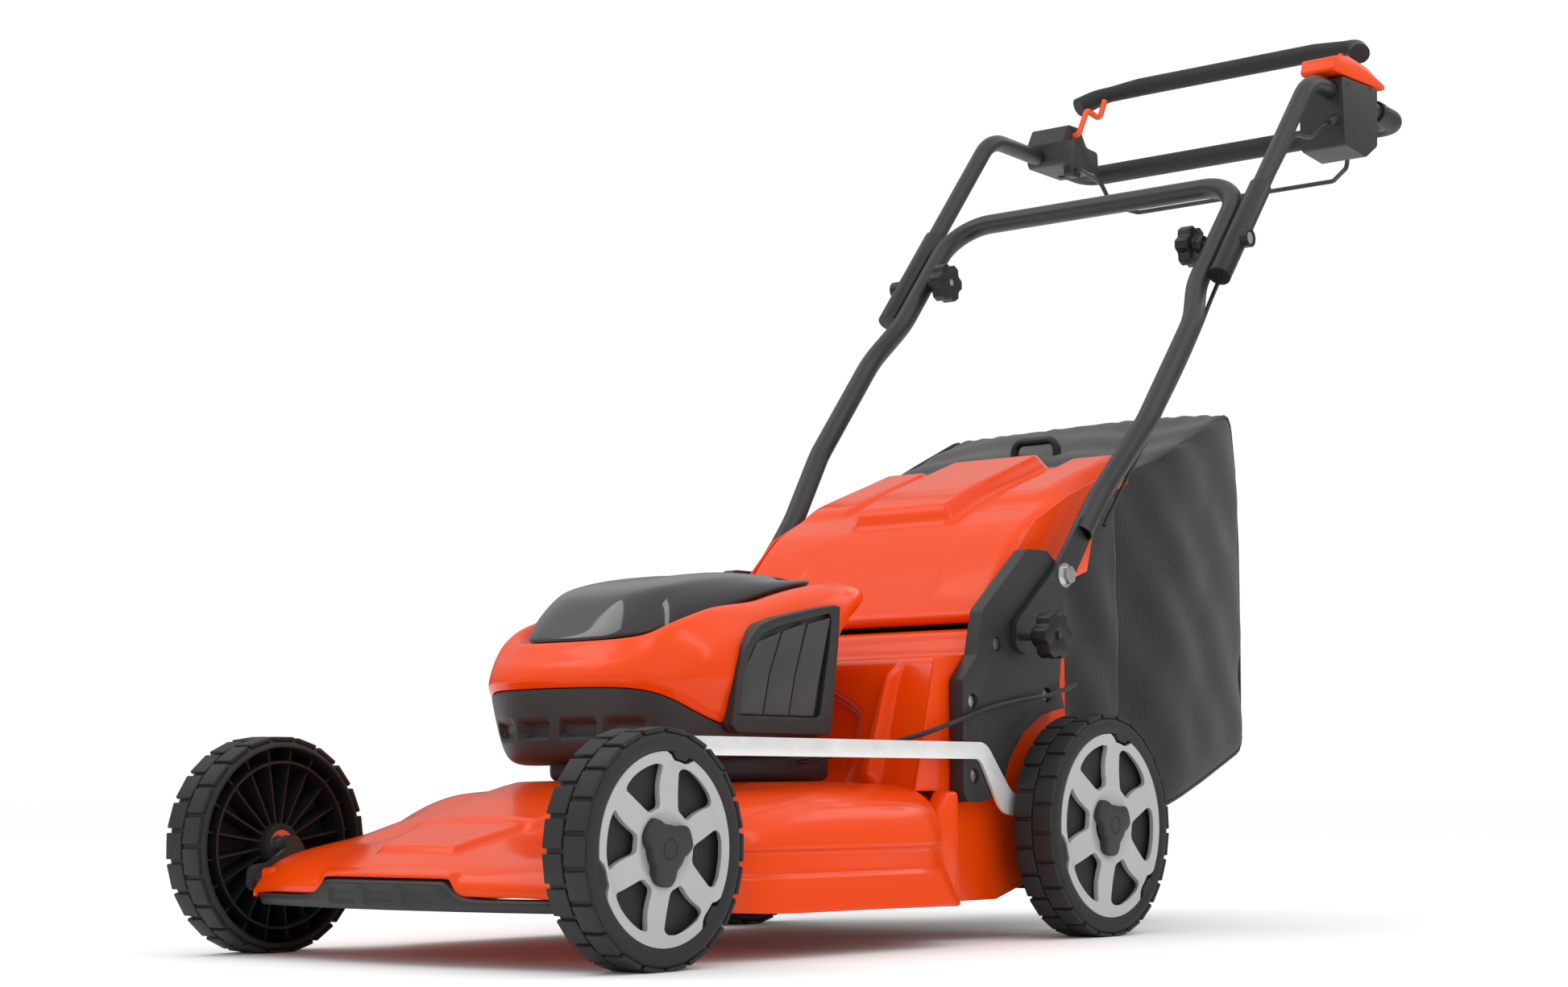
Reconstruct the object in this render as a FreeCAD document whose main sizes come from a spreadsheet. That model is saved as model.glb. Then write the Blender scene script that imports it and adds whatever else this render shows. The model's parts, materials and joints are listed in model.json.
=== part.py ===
import FreeCAD, Part
import math
import os
import Sketcher

from FreeCAD import Placement, Rotation, Vector

# Walk-behind battery lawn mower. Millimetres; +X is the mower's left, -Y its front, +Z up.
# Every piece is drawn with the rear wheels' axle line at y = 0 and the ground at z = 0,
# and its Placement then moves it by rear_axle_y, which centres the whole machine on the origin.

doc = FreeCAD.newDocument("mower")
sheet = doc.addObject("Spreadsheet::Sheet", "Sizes")

driving = {
    # overall
    "rear_axle_y": 8.25,
    "wheel_base": 697.5,
    "tunnel_half": 190.0,
    "running_gap": 0.05,
    "part_gap": 0.3,
    # wheels
    "front_wheel_radius": 101.6,
    "rear_wheel_radius": 114.3,
    "wheel_width": 50.0,
    "wheel_gap": 10.0,
    "tread_inner": 9.0,
    "tread_outer": 19.0,
    "axle_radius": 6.0,
    "hub_radius": 20.0,
    "bearing_radius": 14.0,
    "bearing_width": 8.0,
    "trim_thickness": 9.0,
    "cap_radius": 22.0,
    "cap_lobe": 31.0,
    "rib_count": 20,
    "spoke_count": 6,
    # cranked axles
    "crank_reach": 42.0,
    "crank_rise": 30.0,
    "link_pin_rise": 45.0,
    "crank_thickness": 5.0,
    "link_thickness": 4.0,
    "link_height": 17.0,
    "link_top": 199.0,
    # deck
    "deck_wall": 4.0,
    "deck_flare": 29.0,
    "skirt_bottom": 40.0,
    "deck_top": 160.0,
    "blade_radius": 235.0,
    "blade_bottom": 48.0,
    "blade_thickness": 3.5,
    "shaft_radius": 8.0,
    # motor housing
    "motor_radius": 58.0,
    "motor_head_radius": 27.0,
    "motor_height": 58.0,
    "pedestal_half": 100.0,
    "pedestal_height": 27.0,
    "housing_half": 136.0,
    "housing_wall": 3.0,
    "base_height": 63.0,
    "battery_width": 92.0,
    "battery_length": 180.0,
    "battery_height": 62.0,
    "lid_half": 88.0,
    # side brackets and flap
    "bracket_thickness": 16.0,
    "bracket_gap": 2.0,
    "flap_wall": 3.5,
    "flap_inset": 8.0,
    "flap_pin_radius": 4.0,
    "skirt_pin_radius": 3.0,
    # handle
    "handle_angle": 50.4,
    "lower_tube_radius": 12.3,
    "upper_tube_radius": 10.9,
    "tube_wall": 1.5,
    "sleeve_wall": 2.5,
    "handle_plate": 6.0,
    "grip_wall": 2.7,
    "pivot_bolt_radius": 5.0,
    "clamp_bolt_radius": 4.0,
    "knob_radius": 25.0,
    "knob_lobes": 6,
    "bail_radius": 4.0,
    "drive_bail_radius": 3.0,
    "lever_pin_radius": 2.0,
    "cable_radius": 2.5,
    # grass bag
    "bag_half": 198.0,
    "bag_wall": 3.0,
}
for row, (name, number) in enumerate(driving.items(), 1):
    sheet.set(f"A{row}", name)
    sheet.set(f"B{row}", str(number))
    sheet.setAlias(f"B{row}", name)
doc.recompute()


def size(name):
    return float(sheet.get(name))


# Lateral stack, from the middle outwards: tunnel wall, bracket, crank, link bar, wheel.
gap = size("part_gap")
tunnelHalf = size("tunnel_half")
bracketIn = tunnelHalf + size("bracket_gap")
bracketOut = bracketIn + size("bracket_thickness")
crankIn = bracketOut - size("crank_thickness")
linkIn = bracketOut + 1.0
wheelIn = bracketOut + size("wheel_gap")
wheelOut = wheelIn + size("wheel_width")
deckHalf = wheelIn + size("deck_flare")
plateIn = bracketOut + 1.0
plateOut = plateIn + size("handle_plate")

# Axles, cranks and blade, as (y, z).
frontY = -size("wheel_base")
rearAxle = (0.0, size("rear_wheel_radius"))
frontAxle = (frontY, size("front_wheel_radius"))
crank = (size("crank_reach"), size("crank_rise"))
rearPivot = (rearAxle[0] - crank[0], rearAxle[1] - crank[1])
frontPivot = (frontAxle[0] - crank[0], frontAxle[1] - crank[1])
rearPin = (rearPivot[0], rearPivot[1] + size("link_pin_rise"))
frontPin = (frontPivot[0], frontPivot[1] + size("link_pin_rise"))
bladeY = -size("wheel_base") / 2 - 1.25
deckTop = size("deck_top")
wall = size("deck_wall")

# Handle: the hinge bolt, the fold pivot, and the direction of the lower tubes.
hinge = (-5.0, 377.0)
lean = math.radians(size("handle_angle"))
along = (math.cos(lean), math.sin(lean))
foldReach = 536.0
tubeUpper = size("upper_tube_radius")
tubeLower = size("lower_tube_radius")
sleeveRadius = tubeUpper + size("sleeve_wall")
gripPoint = (769.0, 1013.0)
flatX = plateIn + 3.0
upperX = flatX + tubeLower + sleeveRadius + 0.8

nodes = []


def up(reach):
    return (hinge[0] + reach * along[0], hinge[1] + reach * along[1])


fold = up(foldReach)
clamp = (hinge[0] - 80.0, hinge[1] - 69.0)


# ---------------------------------------------------------------- drawing helpers
def rounded(points, closed=True):
    """Lines through the points, with an arc at each point that names a radius."""
    count = len(points)
    ends = []
    for index, point in enumerate(points):
        here = Vector(*point[:2], 0)
        radius = point[2] if len(point) > 2 else 0
        if radius == 0 or (not closed and index in (0, count - 1)):
            ends.append((here, None, here))
            continue
        before = (Vector(*points[index - 1][:2], 0) - here).normalize()
        after = (Vector(*points[(index + 1) % count][:2], 0) - here).normalize()
        half = before.getAngle(after) / 2
        cut = radius / math.tan(half)
        middle = (before + after).normalize()
        top = here + middle * (radius / math.sin(half) - radius)
        ends.append((here + before * cut, top, here + after * cut))
    curves = []
    for index, (start, top, end) in enumerate(ends):
        if top is not None:
            curves.append(Part.Arc(start, top, end))
        following = ends[(index + 1) % count][0]
        last = index == count - 1 and not closed
        if not last and (following - end).Length > 1e-6:
            curves.append(Part.LineSegment(end, following))
    return curves


def newBody(label, place=None):
    body = doc.addObject("PartDesign::Body", label)
    body.Label = label
    if place is None:
        body.setExpression("Placement.Base.y", "Sizes.rear_axle_y")
    else:
        position, turn = place
        body.Placement = Placement(position, Rotation(Vector(0, 0, 1), turn))
        body.setExpression("Placement.Base.y", f"Sizes.rear_axle_y + {position.y}")
    return body


def newSketch(body, plane, offset, points=None, circles=()):
    sketch = body.newObject("Sketcher::SketchObject", "Sketch")
    support = [item for item in body.Origin.OriginFeatures if item.Role == plane + "_Plane"]
    sketch.AttachmentSupport = (support[0], [""])
    sketch.MapMode = "FlatFace"
    if isinstance(offset, str):
        sketch.setExpression("AttachmentOffset.Base.z", offset)
    else:
        sketch.AttachmentOffset = Placement(Vector(0, 0, offset), Rotation())
    for curve in rounded(points or []):
        sketch.addGeometry(curve, False)
    for u, v, radius in circles:
        ring = Part.Circle(Vector(u, v, 0), Vector(0, 0, 1), 1.0)
        sketch.addGeometry(ring, False)
        last = sketch.GeometryCount - 1
        sketch.addConstraint(Sketcher.Constraint("Radius", last, 1.0))
        if isinstance(radius, str):
            sketch.setExpression(f"Constraints[{sketch.ConstraintCount - 1}]", radius)
        else:
            sketch.setDatum(sketch.ConstraintCount - 1, radius)
    return sketch


def pad(body, sketch, length, both=False, back=False, cut=False):
    kind = "PartDesign::Pocket" if cut else "PartDesign::Pad"
    feature = body.newObject(kind, "Pocket" if cut else "Pad")
    feature.Profile = sketch
    if isinstance(length, str):
        feature.setExpression("Length", length)
    else:
        feature.Length = length
    if both:
        feature.SideType = "Symmetric"
    feature.Reversed = back
    body.Tip = feature
    return feature


def slab(body, points, low, high, plane="YZ", cut=False):
    """A prism between two offsets of a plane; the XZ plane's offsets count towards -Y."""
    return pad(body, newSketch(body, plane, low, points), high - low, back=cut, cut=cut)


def loft(body, sketches, cut=False):
    kind = "PartDesign::SubtractiveLoft" if cut else "PartDesign::AdditiveLoft"
    feature = body.newObject(kind, "Loft")
    feature.Profile = sketches[0]
    feature.Sections = sketches[1:]
    feature.Ruled = True
    body.Tip = feature
    return feature


def turn(body, points, plane="XZ", axis="H_Axis", cut=False):
    kind = "PartDesign::Groove" if cut else "PartDesign::Revolution"
    feature = body.newObject(kind, "Turned")
    sketch = newSketch(body, plane, 0.0, points)
    feature.Profile = sketch
    feature.ReferenceAxis = (sketch, [axis])
    feature.Angle = 360
    body.Tip = feature
    return feature


def around(body, feature, count):
    """Repeats a feature about the body's X axis."""
    pattern = body.newObject("PartDesign::PolarPattern", "Pattern")
    pattern.Originals = [feature]
    axis = [item for item in body.Origin.OriginFeatures if item.Role == "X_Axis"][0]
    pattern.Axis = (axis, [""])
    pattern.Angle = 360
    pattern.setExpression("Occurrences", count)
    body.Tip = pattern
    return pattern


def keep(item):
    nodes.append(item)
    return item


def shift(item):
    """Moves a Part object from the rear axle's frame to the machine's frame."""
    item.setExpression("Placement.Base.y", f"Sizes.rear_axle_y + {item.Placement.Base.y}")
    return item


def rod(label, radius, ends, centre):
    """A bar along X at (y, z) between two x values."""
    low, high = min(ends), max(ends)
    bar = doc.addObject("Part::Cylinder", label)
    if isinstance(radius, str):
        bar.setExpression("Radius", radius)
    else:
        bar.Radius = radius
    bar.Height = high - low
    bar.Placement = Placement(Vector(low, *centre), Rotation(Vector(0, 1, 0), 90))
    return bar


def column(label, radius, low, high, centre):
    """A bar along Z at (x, y) between two heights."""
    bar = doc.addObject("Part::Cylinder", label)
    if isinstance(radius, str):
        bar.setExpression("Radius", radius)
    else:
        bar.Radius = radius
    bar.Height = high - low
    bar.Placement = Placement(Vector(centre[0], centre[1], low), Rotation())
    return bar


def prism(label, points, low, high, axis="X"):
    """An extruded outline between two offsets: (y, z) along X, or (x, y) along Z."""
    face = doc.addObject("Part::Feature", label + "_outline")
    wire = Part.Wire(Part.sortEdges([curve.toShape() for curve in rounded(points)])[0])
    if axis == "X":
        wire.Placement = Placement(Vector(low, 0, 0), Rotation(Vector(1, 1, 1), 120))
    else:
        wire.Placement = Placement(Vector(0, 0, low), Rotation())
    face.Shape = wire
    solid = doc.addObject("Part::Extrusion", label)
    solid.Base = face
    solid.DirMode = "Custom"
    solid.Dir = Vector(1, 0, 0) if axis == "X" else Vector(0, 0, 1)
    solid.LengthFwd = high - low
    solid.Solid = True
    return solid


def fuse(label, pieces):
    joined = doc.addObject("Part::MultiFuse", label)
    joined.Shapes = pieces
    return joined


def cutAway(label, base, tools):
    result = doc.addObject("Part::Cut", label)
    result.Base = base
    result.Tool = tools[0] if len(tools) == 1 else fuse(label + "_tools", tools)
    return result


def group(label, pieces):
    held = doc.addObject("Part::Compound", label)
    held.Links = pieces
    return held


def path(label, points, radii, closed=False):
    """Straight runs through 3-D points, joined by tangent arcs."""
    edges = []
    start = Vector(*points[0])
    for index in range(1, len(points) - 1):
        here = Vector(*points[index])
        before = (Vector(*points[index - 1]) - here).normalize()
        after = (Vector(*points[index + 1]) - here).normalize()
        radius = radii if isinstance(radii, (int, float)) else radii[index - 1]
        half = before.getAngle(after) / 2
        cut = radius / math.tan(half)
        middle = (before + after).normalize()
        top = here + middle * (radius / math.sin(half) - radius)
        edges.append(Part.LineSegment(start, here + before * cut).toShape())
        edges.append(Part.Arc(here + before * cut, top, here + after * cut).toShape())
        start = here + after * cut
    edges.append(Part.LineSegment(start, Vector(*points[-1])).toShape())
    line = doc.addObject("Part::Feature", label + "_path")
    line.Shape = Part.Wire(edges)
    return line


def sweep(label, line, radius):
    """A round bar of the given radius along a path."""
    doc.recompute()
    section = doc.addObject("Part::Circle", label + "_section")
    if isinstance(radius, str):
        section.setExpression("Radius", radius)
    else:
        section.Radius = radius
    edge = line.Shape.Edges[0]
    start = edge.valueAt(edge.FirstParameter)
    direction = edge.tangentAt(edge.FirstParameter)
    section.Placement = Placement(start, Rotation(Vector(0, 0, 1), direction))
    bar = doc.addObject("Part::Sweep", label)
    bar.Sections = [section]
    bar.Spine = (line, [f"Edge{number + 1}" for number in range(len(line.Shape.Edges))])
    bar.Solid = True
    bar.Frenet = False
    return bar


def ring(centre, radius, count, phase=0.0):
    """Points on a circle, as (u, v)."""
    step = 2 * math.pi / count
    return [(centre[0] + radius * math.cos(phase + step * number),
             centre[1] + radius * math.sin(phase + step * number)) for number in range(count)]


# ---------------------------------------------------------------- deck
def panSection(half, rim, shoulder, rise, top, flat):
    left = [(half, rim), (half, shoulder), (half - 14, shoulder + rise), (flat, top)]
    return left + [(-x, z) for x, z in reversed(left)]


def panStations(inset, drop):
    """Cross sections from nose to tail: y, half width, rim, shoulder, rise, top, flat half."""
    skirt = size("skirt_bottom")
    rows = [
        (frontY - 50, tunnelHalf + 5, 56, 72, 4, 80, 120),
        (frontY + 3, tunnelHalf + 9, 52, 80, 8, 102, 120),
        (frontY + 63, tunnelHalf + 11, 48, 100, 10, 124, 130),
        (frontY + 100, tunnelHalf + 13, 45, 108, 12, 138, 150),
        (frontY + 137, deckHalf, skirt + 2, 120, 14, 151, 170),
        (bladeY - 130, deckHalf, skirt + 1, 129, 12, deckTop, 190),
        (-225, deckHalf, skirt, 129, 12, deckTop, 190),
        (-198, tunnelHalf + 16, skirt, 129, 12, deckTop, 180),
    ]
    result = []
    for y, half, rim, shoulder, rise, top, flat in rows:
        section = panSection(half - inset, rim - drop, shoulder - inset, rise, top - inset, flat - inset)
        result.append([y, section])
    if inset:
        result[0][0] += inset
        result[-1][0] -= inset
    return result


deck = newBody("deck")
outer = [newSketch(deck, "XZ", -y, section) for y, section in panStations(0, 0)]
loft(deck, outer)
tower = [(-240, 150), (-203, 284), (-150, 286), (-125, 314), (-114, 318), (25, 318),
         (25, 112), (2, 98), (-28, 60), (-101, 40), (-198, 40), (-198, 150)]
slab(deck, tower, -tunnelHalf, tunnelHalf)
flapHinge = (-104.0, 331.0)
ear = [(flapHinge[0] - 14, 316), (flapHinge[0] - 8, flapHinge[1] + 5, 6),
       (flapHinge[0] + 8, flapHinge[1] + 5, 6),
       (flapHinge[0] + 16, 316)]
for side in (1, -1):
    ends = (side * (tunnelHalf - wall), side * tunnelHalf)
    slab(deck, ear, min(ends), max(ends))
inner = [newSketch(deck, "XZ", -y, section) for y, section in panStations(wall, 12)]
loft(deck, inner, cut=True)
tunnel = [(-235, 150), (-199, 280), (-152, 282), (-127, 310), (-114, 314), (40, 314),
          (40, 200), (-106, 40), (-106, 20), (-204, 20), (-204, 150)]
insideHalf = tunnelHalf - wall
slab(deck, tunnel, -insideHalf, insideHalf, cut=True)
underFloor = [(-98, 20), (-98, 40), (40, 191.2), (40, 20)]
slab(deck, underFloor, -insideHalf, insideHalf, cut=True)
blockHalf = 8.5
for side in (1, -1):
    block = [(frontPivot[0] - 7, 58), (frontPivot[0] - 7, 80), (frontPivot[0] + 12, 84),
             (frontPivot[0] + 12, 58)]
    middle = side * (tunnelHalf - 5)
    slab(deck, block, middle - blockHalf, middle + blockHalf)
holes = [(*frontPivot, "Sizes.axle_radius + Sizes.running_gap"),
         (*rearPivot, "Sizes.axle_radius + Sizes.running_gap"),
         (*flapHinge, "Sizes.flap_pin_radius + Sizes.running_gap"),
         (12, 128, "Sizes.skirt_pin_radius + Sizes.running_gap")]
drilled = newSketch(deck, "YZ", 0.0, circles=holes)
pad(deck, drilled, 4 * tunnelHalf, both=True, cut=True)
shaftHole = newSketch(deck, "XY", deckTop + 10, circles=[(0, bladeY, 30.0)])
pad(deck, shaftHole, 30.0, cut=True)
keep(deck)

bumper = newBody("bumper")
tip = frontY - 78.5
front = frontY - 50 - gap
lip = tunnelHalf + 4
strip = [(-lip, front), (-lip, front - 2), (-lip + 25, front - 18, 20), (0, tip - 4, 900),
         (lip - 25, front - 18, 20),
         (lip, front - 2), (lip, front)]
slab(bumper, strip, 46.0, 61.0, plane="XY")
nosePad = [(-85, front), (-80, front - 23), (0, tip - 1, 500), (80, front - 23), (85, front)]
slab(bumper, nosePad, 50.0, 75.0, plane="XY")
keep(bumper)

# ---------------------------------------------------------------- blade and motor
pedestalLow = deckTop + gap
pedestalHigh = pedestalLow + size("pedestal_height")
motorLow = deckTop + gap
motor = column("cutting_motor_can", "Sizes.motor_radius", motorLow, pedestalHigh - 4, (0, bladeY))
motorHead = column("cutting_motor_head", "Sizes.motor_head_radius", pedestalHigh - 5,
                   motorLow + size("motor_height"),
                   (0, bladeY))
spigot = column("cutting_motor_spigot", 26.0, deckTop - 12, motorLow + 1, (0, bladeY))
motorBore = column("cutting_motor_bore", "Sizes.shaft_radius + Sizes.running_gap", deckTop - 20,
                   motorLow + size("motor_height") - 6, (0, bladeY))
keep(shift(cutAway("cutting_motor", fuse("cutting_motor_whole", [motor, motorHead, spigot]), [motorBore])))

bladeLow = size("blade_bottom")
bladeHigh = bladeLow + size("blade_thickness")
boltRadius = 5.0
shaft = column("motor_shaft_bar", "Sizes.shaft_radius", bladeHigh + gap, motorLow + size("motor_height") - 8,
               (0, bladeY))
shaftBore = column("motor_shaft_bore", boltRadius + 0.02, bladeHigh - 5, bladeHigh + 32, (0, bladeY))
keep(shift(cutAway("motor_shaft", shaft, [shaftBore])))
hub = column("blade_adapter_hub", 24.0, bladeHigh + gap, bladeHigh + 22, (0, bladeY))
hubBore = column("blade_adapter_bore", size("shaft_radius") + 0.02, bladeHigh - 1, bladeHigh + 40,
                 (0, bladeY))
keep(shift(cutAway("blade_adapter", hub, [hubBore])))

blade = newBody("blade")
reach = size("blade_radius")
bar = [(-reach, bladeY - 22), (-reach, bladeY + 22, 10), (-60, bladeY + 27), (60, bladeY + 27),
       (reach, bladeY + 22), (reach, bladeY - 22, 10), (60, bladeY - 27), (-60, bladeY - 27)]
pad(blade, newSketch(blade, "XY", "Sizes.blade_bottom", bar), "Sizes.blade_thickness")
for side in (1, -1):
    edgeY = bladeY + side * 22
    wing = [(side * (reach - 70), edgeY - side * 14), (side * reach * 0.985, edgeY - side * 14),
            (side * reach * 0.985, edgeY - side * 2), (side * (reach - 70), edgeY - side * 2)]
    pad(blade, newSketch(blade, "XY", bladeHigh - 1, wing), 12.0)
pad(blade, newSketch(blade, "XY", bladeLow - 1, circles=[(0, bladeY, boltRadius + 0.1)]),
    10.0, back=True, cut=True)
keep(blade)

boltHead = prism("blade_bolt_head", [(x, bladeY + y) for x, y in ring((0, 0), 12.0, 6)],
                 bladeLow - 9 - gap, bladeLow - gap, "Z")
boltStem = column("blade_bolt_stem", boltRadius, bladeLow - 2, bladeHigh + 30, (0, bladeY))
keep(shift(fuse("blade_bolt", [boltHead, boltStem])))

# ---------------------------------------------------------------- motor housing
pedestal = newBody("motor_pedestal")
halfFoot = size("pedestal_half")
footBack = bladeY + 95
footFront = bladeY - 118


def rect(half, low, high, radius):
    return [(-half, low, radius), (-half, high, radius), (half, high, radius), (half, low, radius)]


slab(pedestal, rect(halfFoot, footFront, footBack, 25), pedestalLow, pedestalHigh, plane="XY")
slab(pedestal, rect(halfFoot - 5, footFront + 5, footBack - 5, 20), pedestalLow - 1, pedestalHigh - 3,
     plane="XY",
     cut=True)
motorMouth = newSketch(pedestal, "XY", pedestalHigh + 1,
                       circles=[(0, bladeY, "Sizes.motor_head_radius + 1.5")])
pad(pedestal, motorMouth, 6.0, cut=True)
keep(pedestal)

houseHalf = size("housing_half")
baseLow = pedestalHigh + gap
baseHigh = baseLow + size("base_height")
houseFront = bladeY - 226
houseBack = bladeY + 50
skin = size("housing_wall")
base = newBody("housing_base")
baseOuter = [
    newSketch(base, "XY", baseLow, rect(houseHalf - 14, houseFront + 18, houseBack - 16, 45)),
    newSketch(base, "XY", baseLow + 18, rect(houseHalf - 3, houseFront + 4, houseBack - 2, 50)),
    newSketch(base, "XY", baseHigh, rect(houseHalf, houseFront, houseBack, 55)),
]
loft(base, baseOuter)
baseInner = [
    newSketch(base, "XY", baseLow + skin, rect(houseHalf - 17, houseFront + 21, houseBack - 19, 42)),
    newSketch(base, "XY", baseLow + 18 + skin, rect(houseHalf - 6, houseFront + 7, houseBack - 5, 47)),
    newSketch(base, "XY", baseHigh + 1, rect(houseHalf - skin, houseFront + skin, houseBack - skin, 52)),
]
loft(base, baseInner, cut=True)
motorHole = newSketch(base, "XY", baseLow - 1, circles=[(0, bladeY, "Sizes.motor_head_radius + 1.5")])
pad(base, motorHole, 10.0, back=True, cut=True)
cheek = [(houseFront + 36, baseHigh - 0.5), (houseFront + 82, baseHigh - 34), (houseBack - 45, baseHigh - 45),
         (houseBack + 5, baseHigh - 46)]
slab(base, cheek + [(houseBack + 5, baseHigh + 5), (houseFront + 36, baseHigh + 5)],
     -houseHalf - 5, houseHalf + 5,
     cut=True)
keep(base)

shellLow = baseHigh + gap
seatFront = (houseFront + 38, shellLow + 44)
seatBack = (houseBack + 30, shellLow + 109)


def seatHeight(y):
    return seatFront[1] + (seatBack[1] - seatFront[1]) * (y - seatFront[0]) / (seatBack[0] - seatFront[0])


def crowned(half, low, top, corner):
    """A section with a flat top and two-step rounded shoulders."""
    left = [(half, low), (half, top - corner), (half - 0.3 * corner, top - 0.3 * corner),
            (half - corner, top)]
    return left + [(-x, z) for x, z in reversed(left)]


shell = newBody("housing_shell")
sideEdge = [(y, z + 2 * gap) for y, z in cheek]
shellRows = [
    (houseFront, houseHalf - 26, shellLow, shellLow + 16, 10),
    (houseFront + 12, houseHalf - 6, shellLow, shellLow + 34, 18),
    (sideEdge[0][0], houseHalf, shellLow, seatHeight(sideEdge[0][0]), 26),
    (sideEdge[1][0], houseHalf, sideEdge[1][1], seatHeight(sideEdge[1][0]), 28),
    (sideEdge[2][0], houseHalf - 1, sideEdge[2][1], seatHeight(sideEdge[2][0]), 34),
    (houseBack - 8, houseHalf - 2, sideEdge[2][1], seatHeight(houseBack - 8), 36),
    (houseBack, houseHalf - 3, shellLow + 38, seatHeight(houseBack), 36),
    (seatBack[0], houseHalf - 8, shellLow + 54, seatBack[1], 34),
    (houseBack + 74, houseHalf - 15, shellLow + 76, shellLow + 106, 18),
    (houseBack + 113, houseHalf - 30, shellLow + 90, shellLow + 95, 3),
]
loft(shell, [newSketch(shell, "XZ", -y, crowned(*rest)) for y, *rest in shellRows])
hollowRows = [
    (houseFront + 5, houseHalf - 32, shellLow - 1, shellLow + 12, 8),
    (houseFront + 16, houseHalf - 12, shellLow - 1, shellLow + 28, 16),
    (sideEdge[0][0] + 2, houseHalf - 4, shellLow - 1, seatHeight(sideEdge[0][0]) - 5, 24),
    (sideEdge[1][0], houseHalf - 4, sideEdge[1][1] - 1, seatHeight(sideEdge[1][0]) - 5, 26),
    (sideEdge[2][0], houseHalf - 5, sideEdge[2][1] - 1, seatHeight(sideEdge[2][0]) - 6, 32),
    (houseBack - 4, houseHalf - 6, sideEdge[2][1] - 1, seatHeight(houseBack - 4) - 6, 34),
]
loft(shell, [newSketch(shell, "XZ", -y, crowned(*rest)) for y, *rest in hollowRows], cut=True)
lipHollow = [
    (houseBack - 6, houseHalf - 9, shellLow + 46, seatHeight(houseBack - 6) - 7, 30),
    (seatBack[0], houseHalf - 13, shellLow + 61, seatBack[1] - 6, 28),
    (houseBack + 68, houseHalf - 20, shellLow + 79, shellLow + 100, 12),
]
loft(shell, [newSketch(shell, "XZ", -y, crowned(*rest)) for y, *rest in lipHollow], cut=True)
bayHalf = size("battery_width") / 2 + 1.5
batteryLow = shellLow + 4
batteryFront = bladeY - 172
batteryBack = batteryFront + size("battery_length")
bay = [(batteryFront - 1.5, batteryLow - 10), (batteryFront - 1.5, shellLow + 150),
       (batteryBack + 1.5, shellLow + 150),
       (batteryBack + 1.5, batteryLow - 10)]
slab(shell, bay, -bayHalf, bayHalf, cut=True)
lidAxis = (seatBack[0] + 4, seatBack[1] + 3.6)
barrelHalf = 60.7
ear = [(lidAxis[0] - 3, lidAxis[1] - 9), (lidAxis[0] - 3, lidAxis[1] + 3, 2.8),
       (lidAxis[0] + 3, lidAxis[1] + 3, 2.8),
       (lidAxis[0] + 3, lidAxis[1] - 9)]
for side in (1, -1):
    ends = (side * (barrelHalf + gap), side * (barrelHalf + 6))
    slab(shell, ear, min(ends), max(ends))
    pin = newSketch(shell, "YZ", side * (barrelHalf - 7), circles=[(*lidAxis, 1.5)])
    pad(shell, pin, 9.0, back=side < 0)
keep(shell)

tray = newBody("battery_tray")
trayFoot = baseLow + skin + gap
trayStep = bladeY - size("motor_radius") - 6
trayOuter = [(batteryFront - 4, trayFoot), (batteryFront - 4, shellLow + 28),
             (batteryBack + 4, shellLow + 64),
             (batteryBack + 4, shellLow + 1), (trayStep, shellLow + 1), (trayStep, trayFoot)]
slab(tray, trayOuter, -bayHalf - 2.5, bayHalf + 2.5)
trayInner = [(batteryFront - 1.2, batteryLow), (batteryFront - 1.2, shellLow + 200),
             (batteryBack + 1.2, shellLow + 200),
             (batteryBack + 1.2, batteryLow)]
slab(tray, trayInner, 0.3 - bayHalf, bayHalf - 0.3, cut=True)
trayVoid = [(batteryFront, trayFoot - 1), (batteryFront, shellLow), (trayStep - 4, shellLow),
            (trayStep - 4, trayFoot - 1)]
slab(tray, trayVoid, 2 - bayHalf, bayHalf - 2, cut=True)
keep(tray)

battery = newBody("battery")
cell = size("battery_height")
pack = [(batteryFront, batteryLow + gap), (batteryFront, batteryLow + cell * 0.66, 6),
        (batteryBack - 40, batteryLow + cell, 30),
        (batteryBack, batteryLow + cell, 6), (batteryBack, batteryLow + gap)]
slab(battery, pack, -size("battery_width") / 2, size("battery_width") / 2)
keep(battery)

lid = newBody("battery_lid")
lidHalf = size("lid_half")
lidFront = houseFront + 38
seat = 0.6
lidRows = [
    (lidFront, lidHalf - 22, seatHeight(lidFront) + seat, seatHeight(lidFront) + 6, 3),
    (lidFront + 40, lidHalf - 4, seatHeight(lidFront + 40) + seat, shellLow + 95, 18),
    (lidFront + 150, lidHalf, seatHeight(lidFront + 150) + seat, shellLow + 116, 22),
    (lidFront + 228, lidHalf - 2, seatHeight(lidFront + 228) + seat, shellLow + 117, 10),
    (seatBack[0], lidHalf - 8, seatBack[1] + seat, shellLow + 115, 3),
]
loft(lid, [newSketch(lid, "XZ", -y, crowned(*rest)) for y, *rest in lidRows])
lidHollow = [(y, half - 4, low - 1, top - 4, corner) for y, half, low, top, corner in lidRows[1:]]
lidHollow[-1] = (seatBack[0] - 6, lidHalf - 12, seatHeight(seatBack[0] - 6) - 1, shellLow + 111, 3)
loft(lid, [newSketch(lid, "XZ", -y, crowned(*rest)) for y, *rest in lidHollow], cut=True)
web = [(lidAxis[0] - 8, lidAxis[1] - 2.4), (lidAxis[0] - 8, lidAxis[1] + 1.2), (lidAxis[0], lidAxis[1] + 1.2),
       (lidAxis[0], lidAxis[1] - 2.4)]
slab(lid, web, -barrelHalf, barrelHalf)
pad(lid, newSketch(lid, "YZ", 0.0, circles=[(*lidAxis, 3.0)]), 2 * barrelHalf, both=True)
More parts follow.
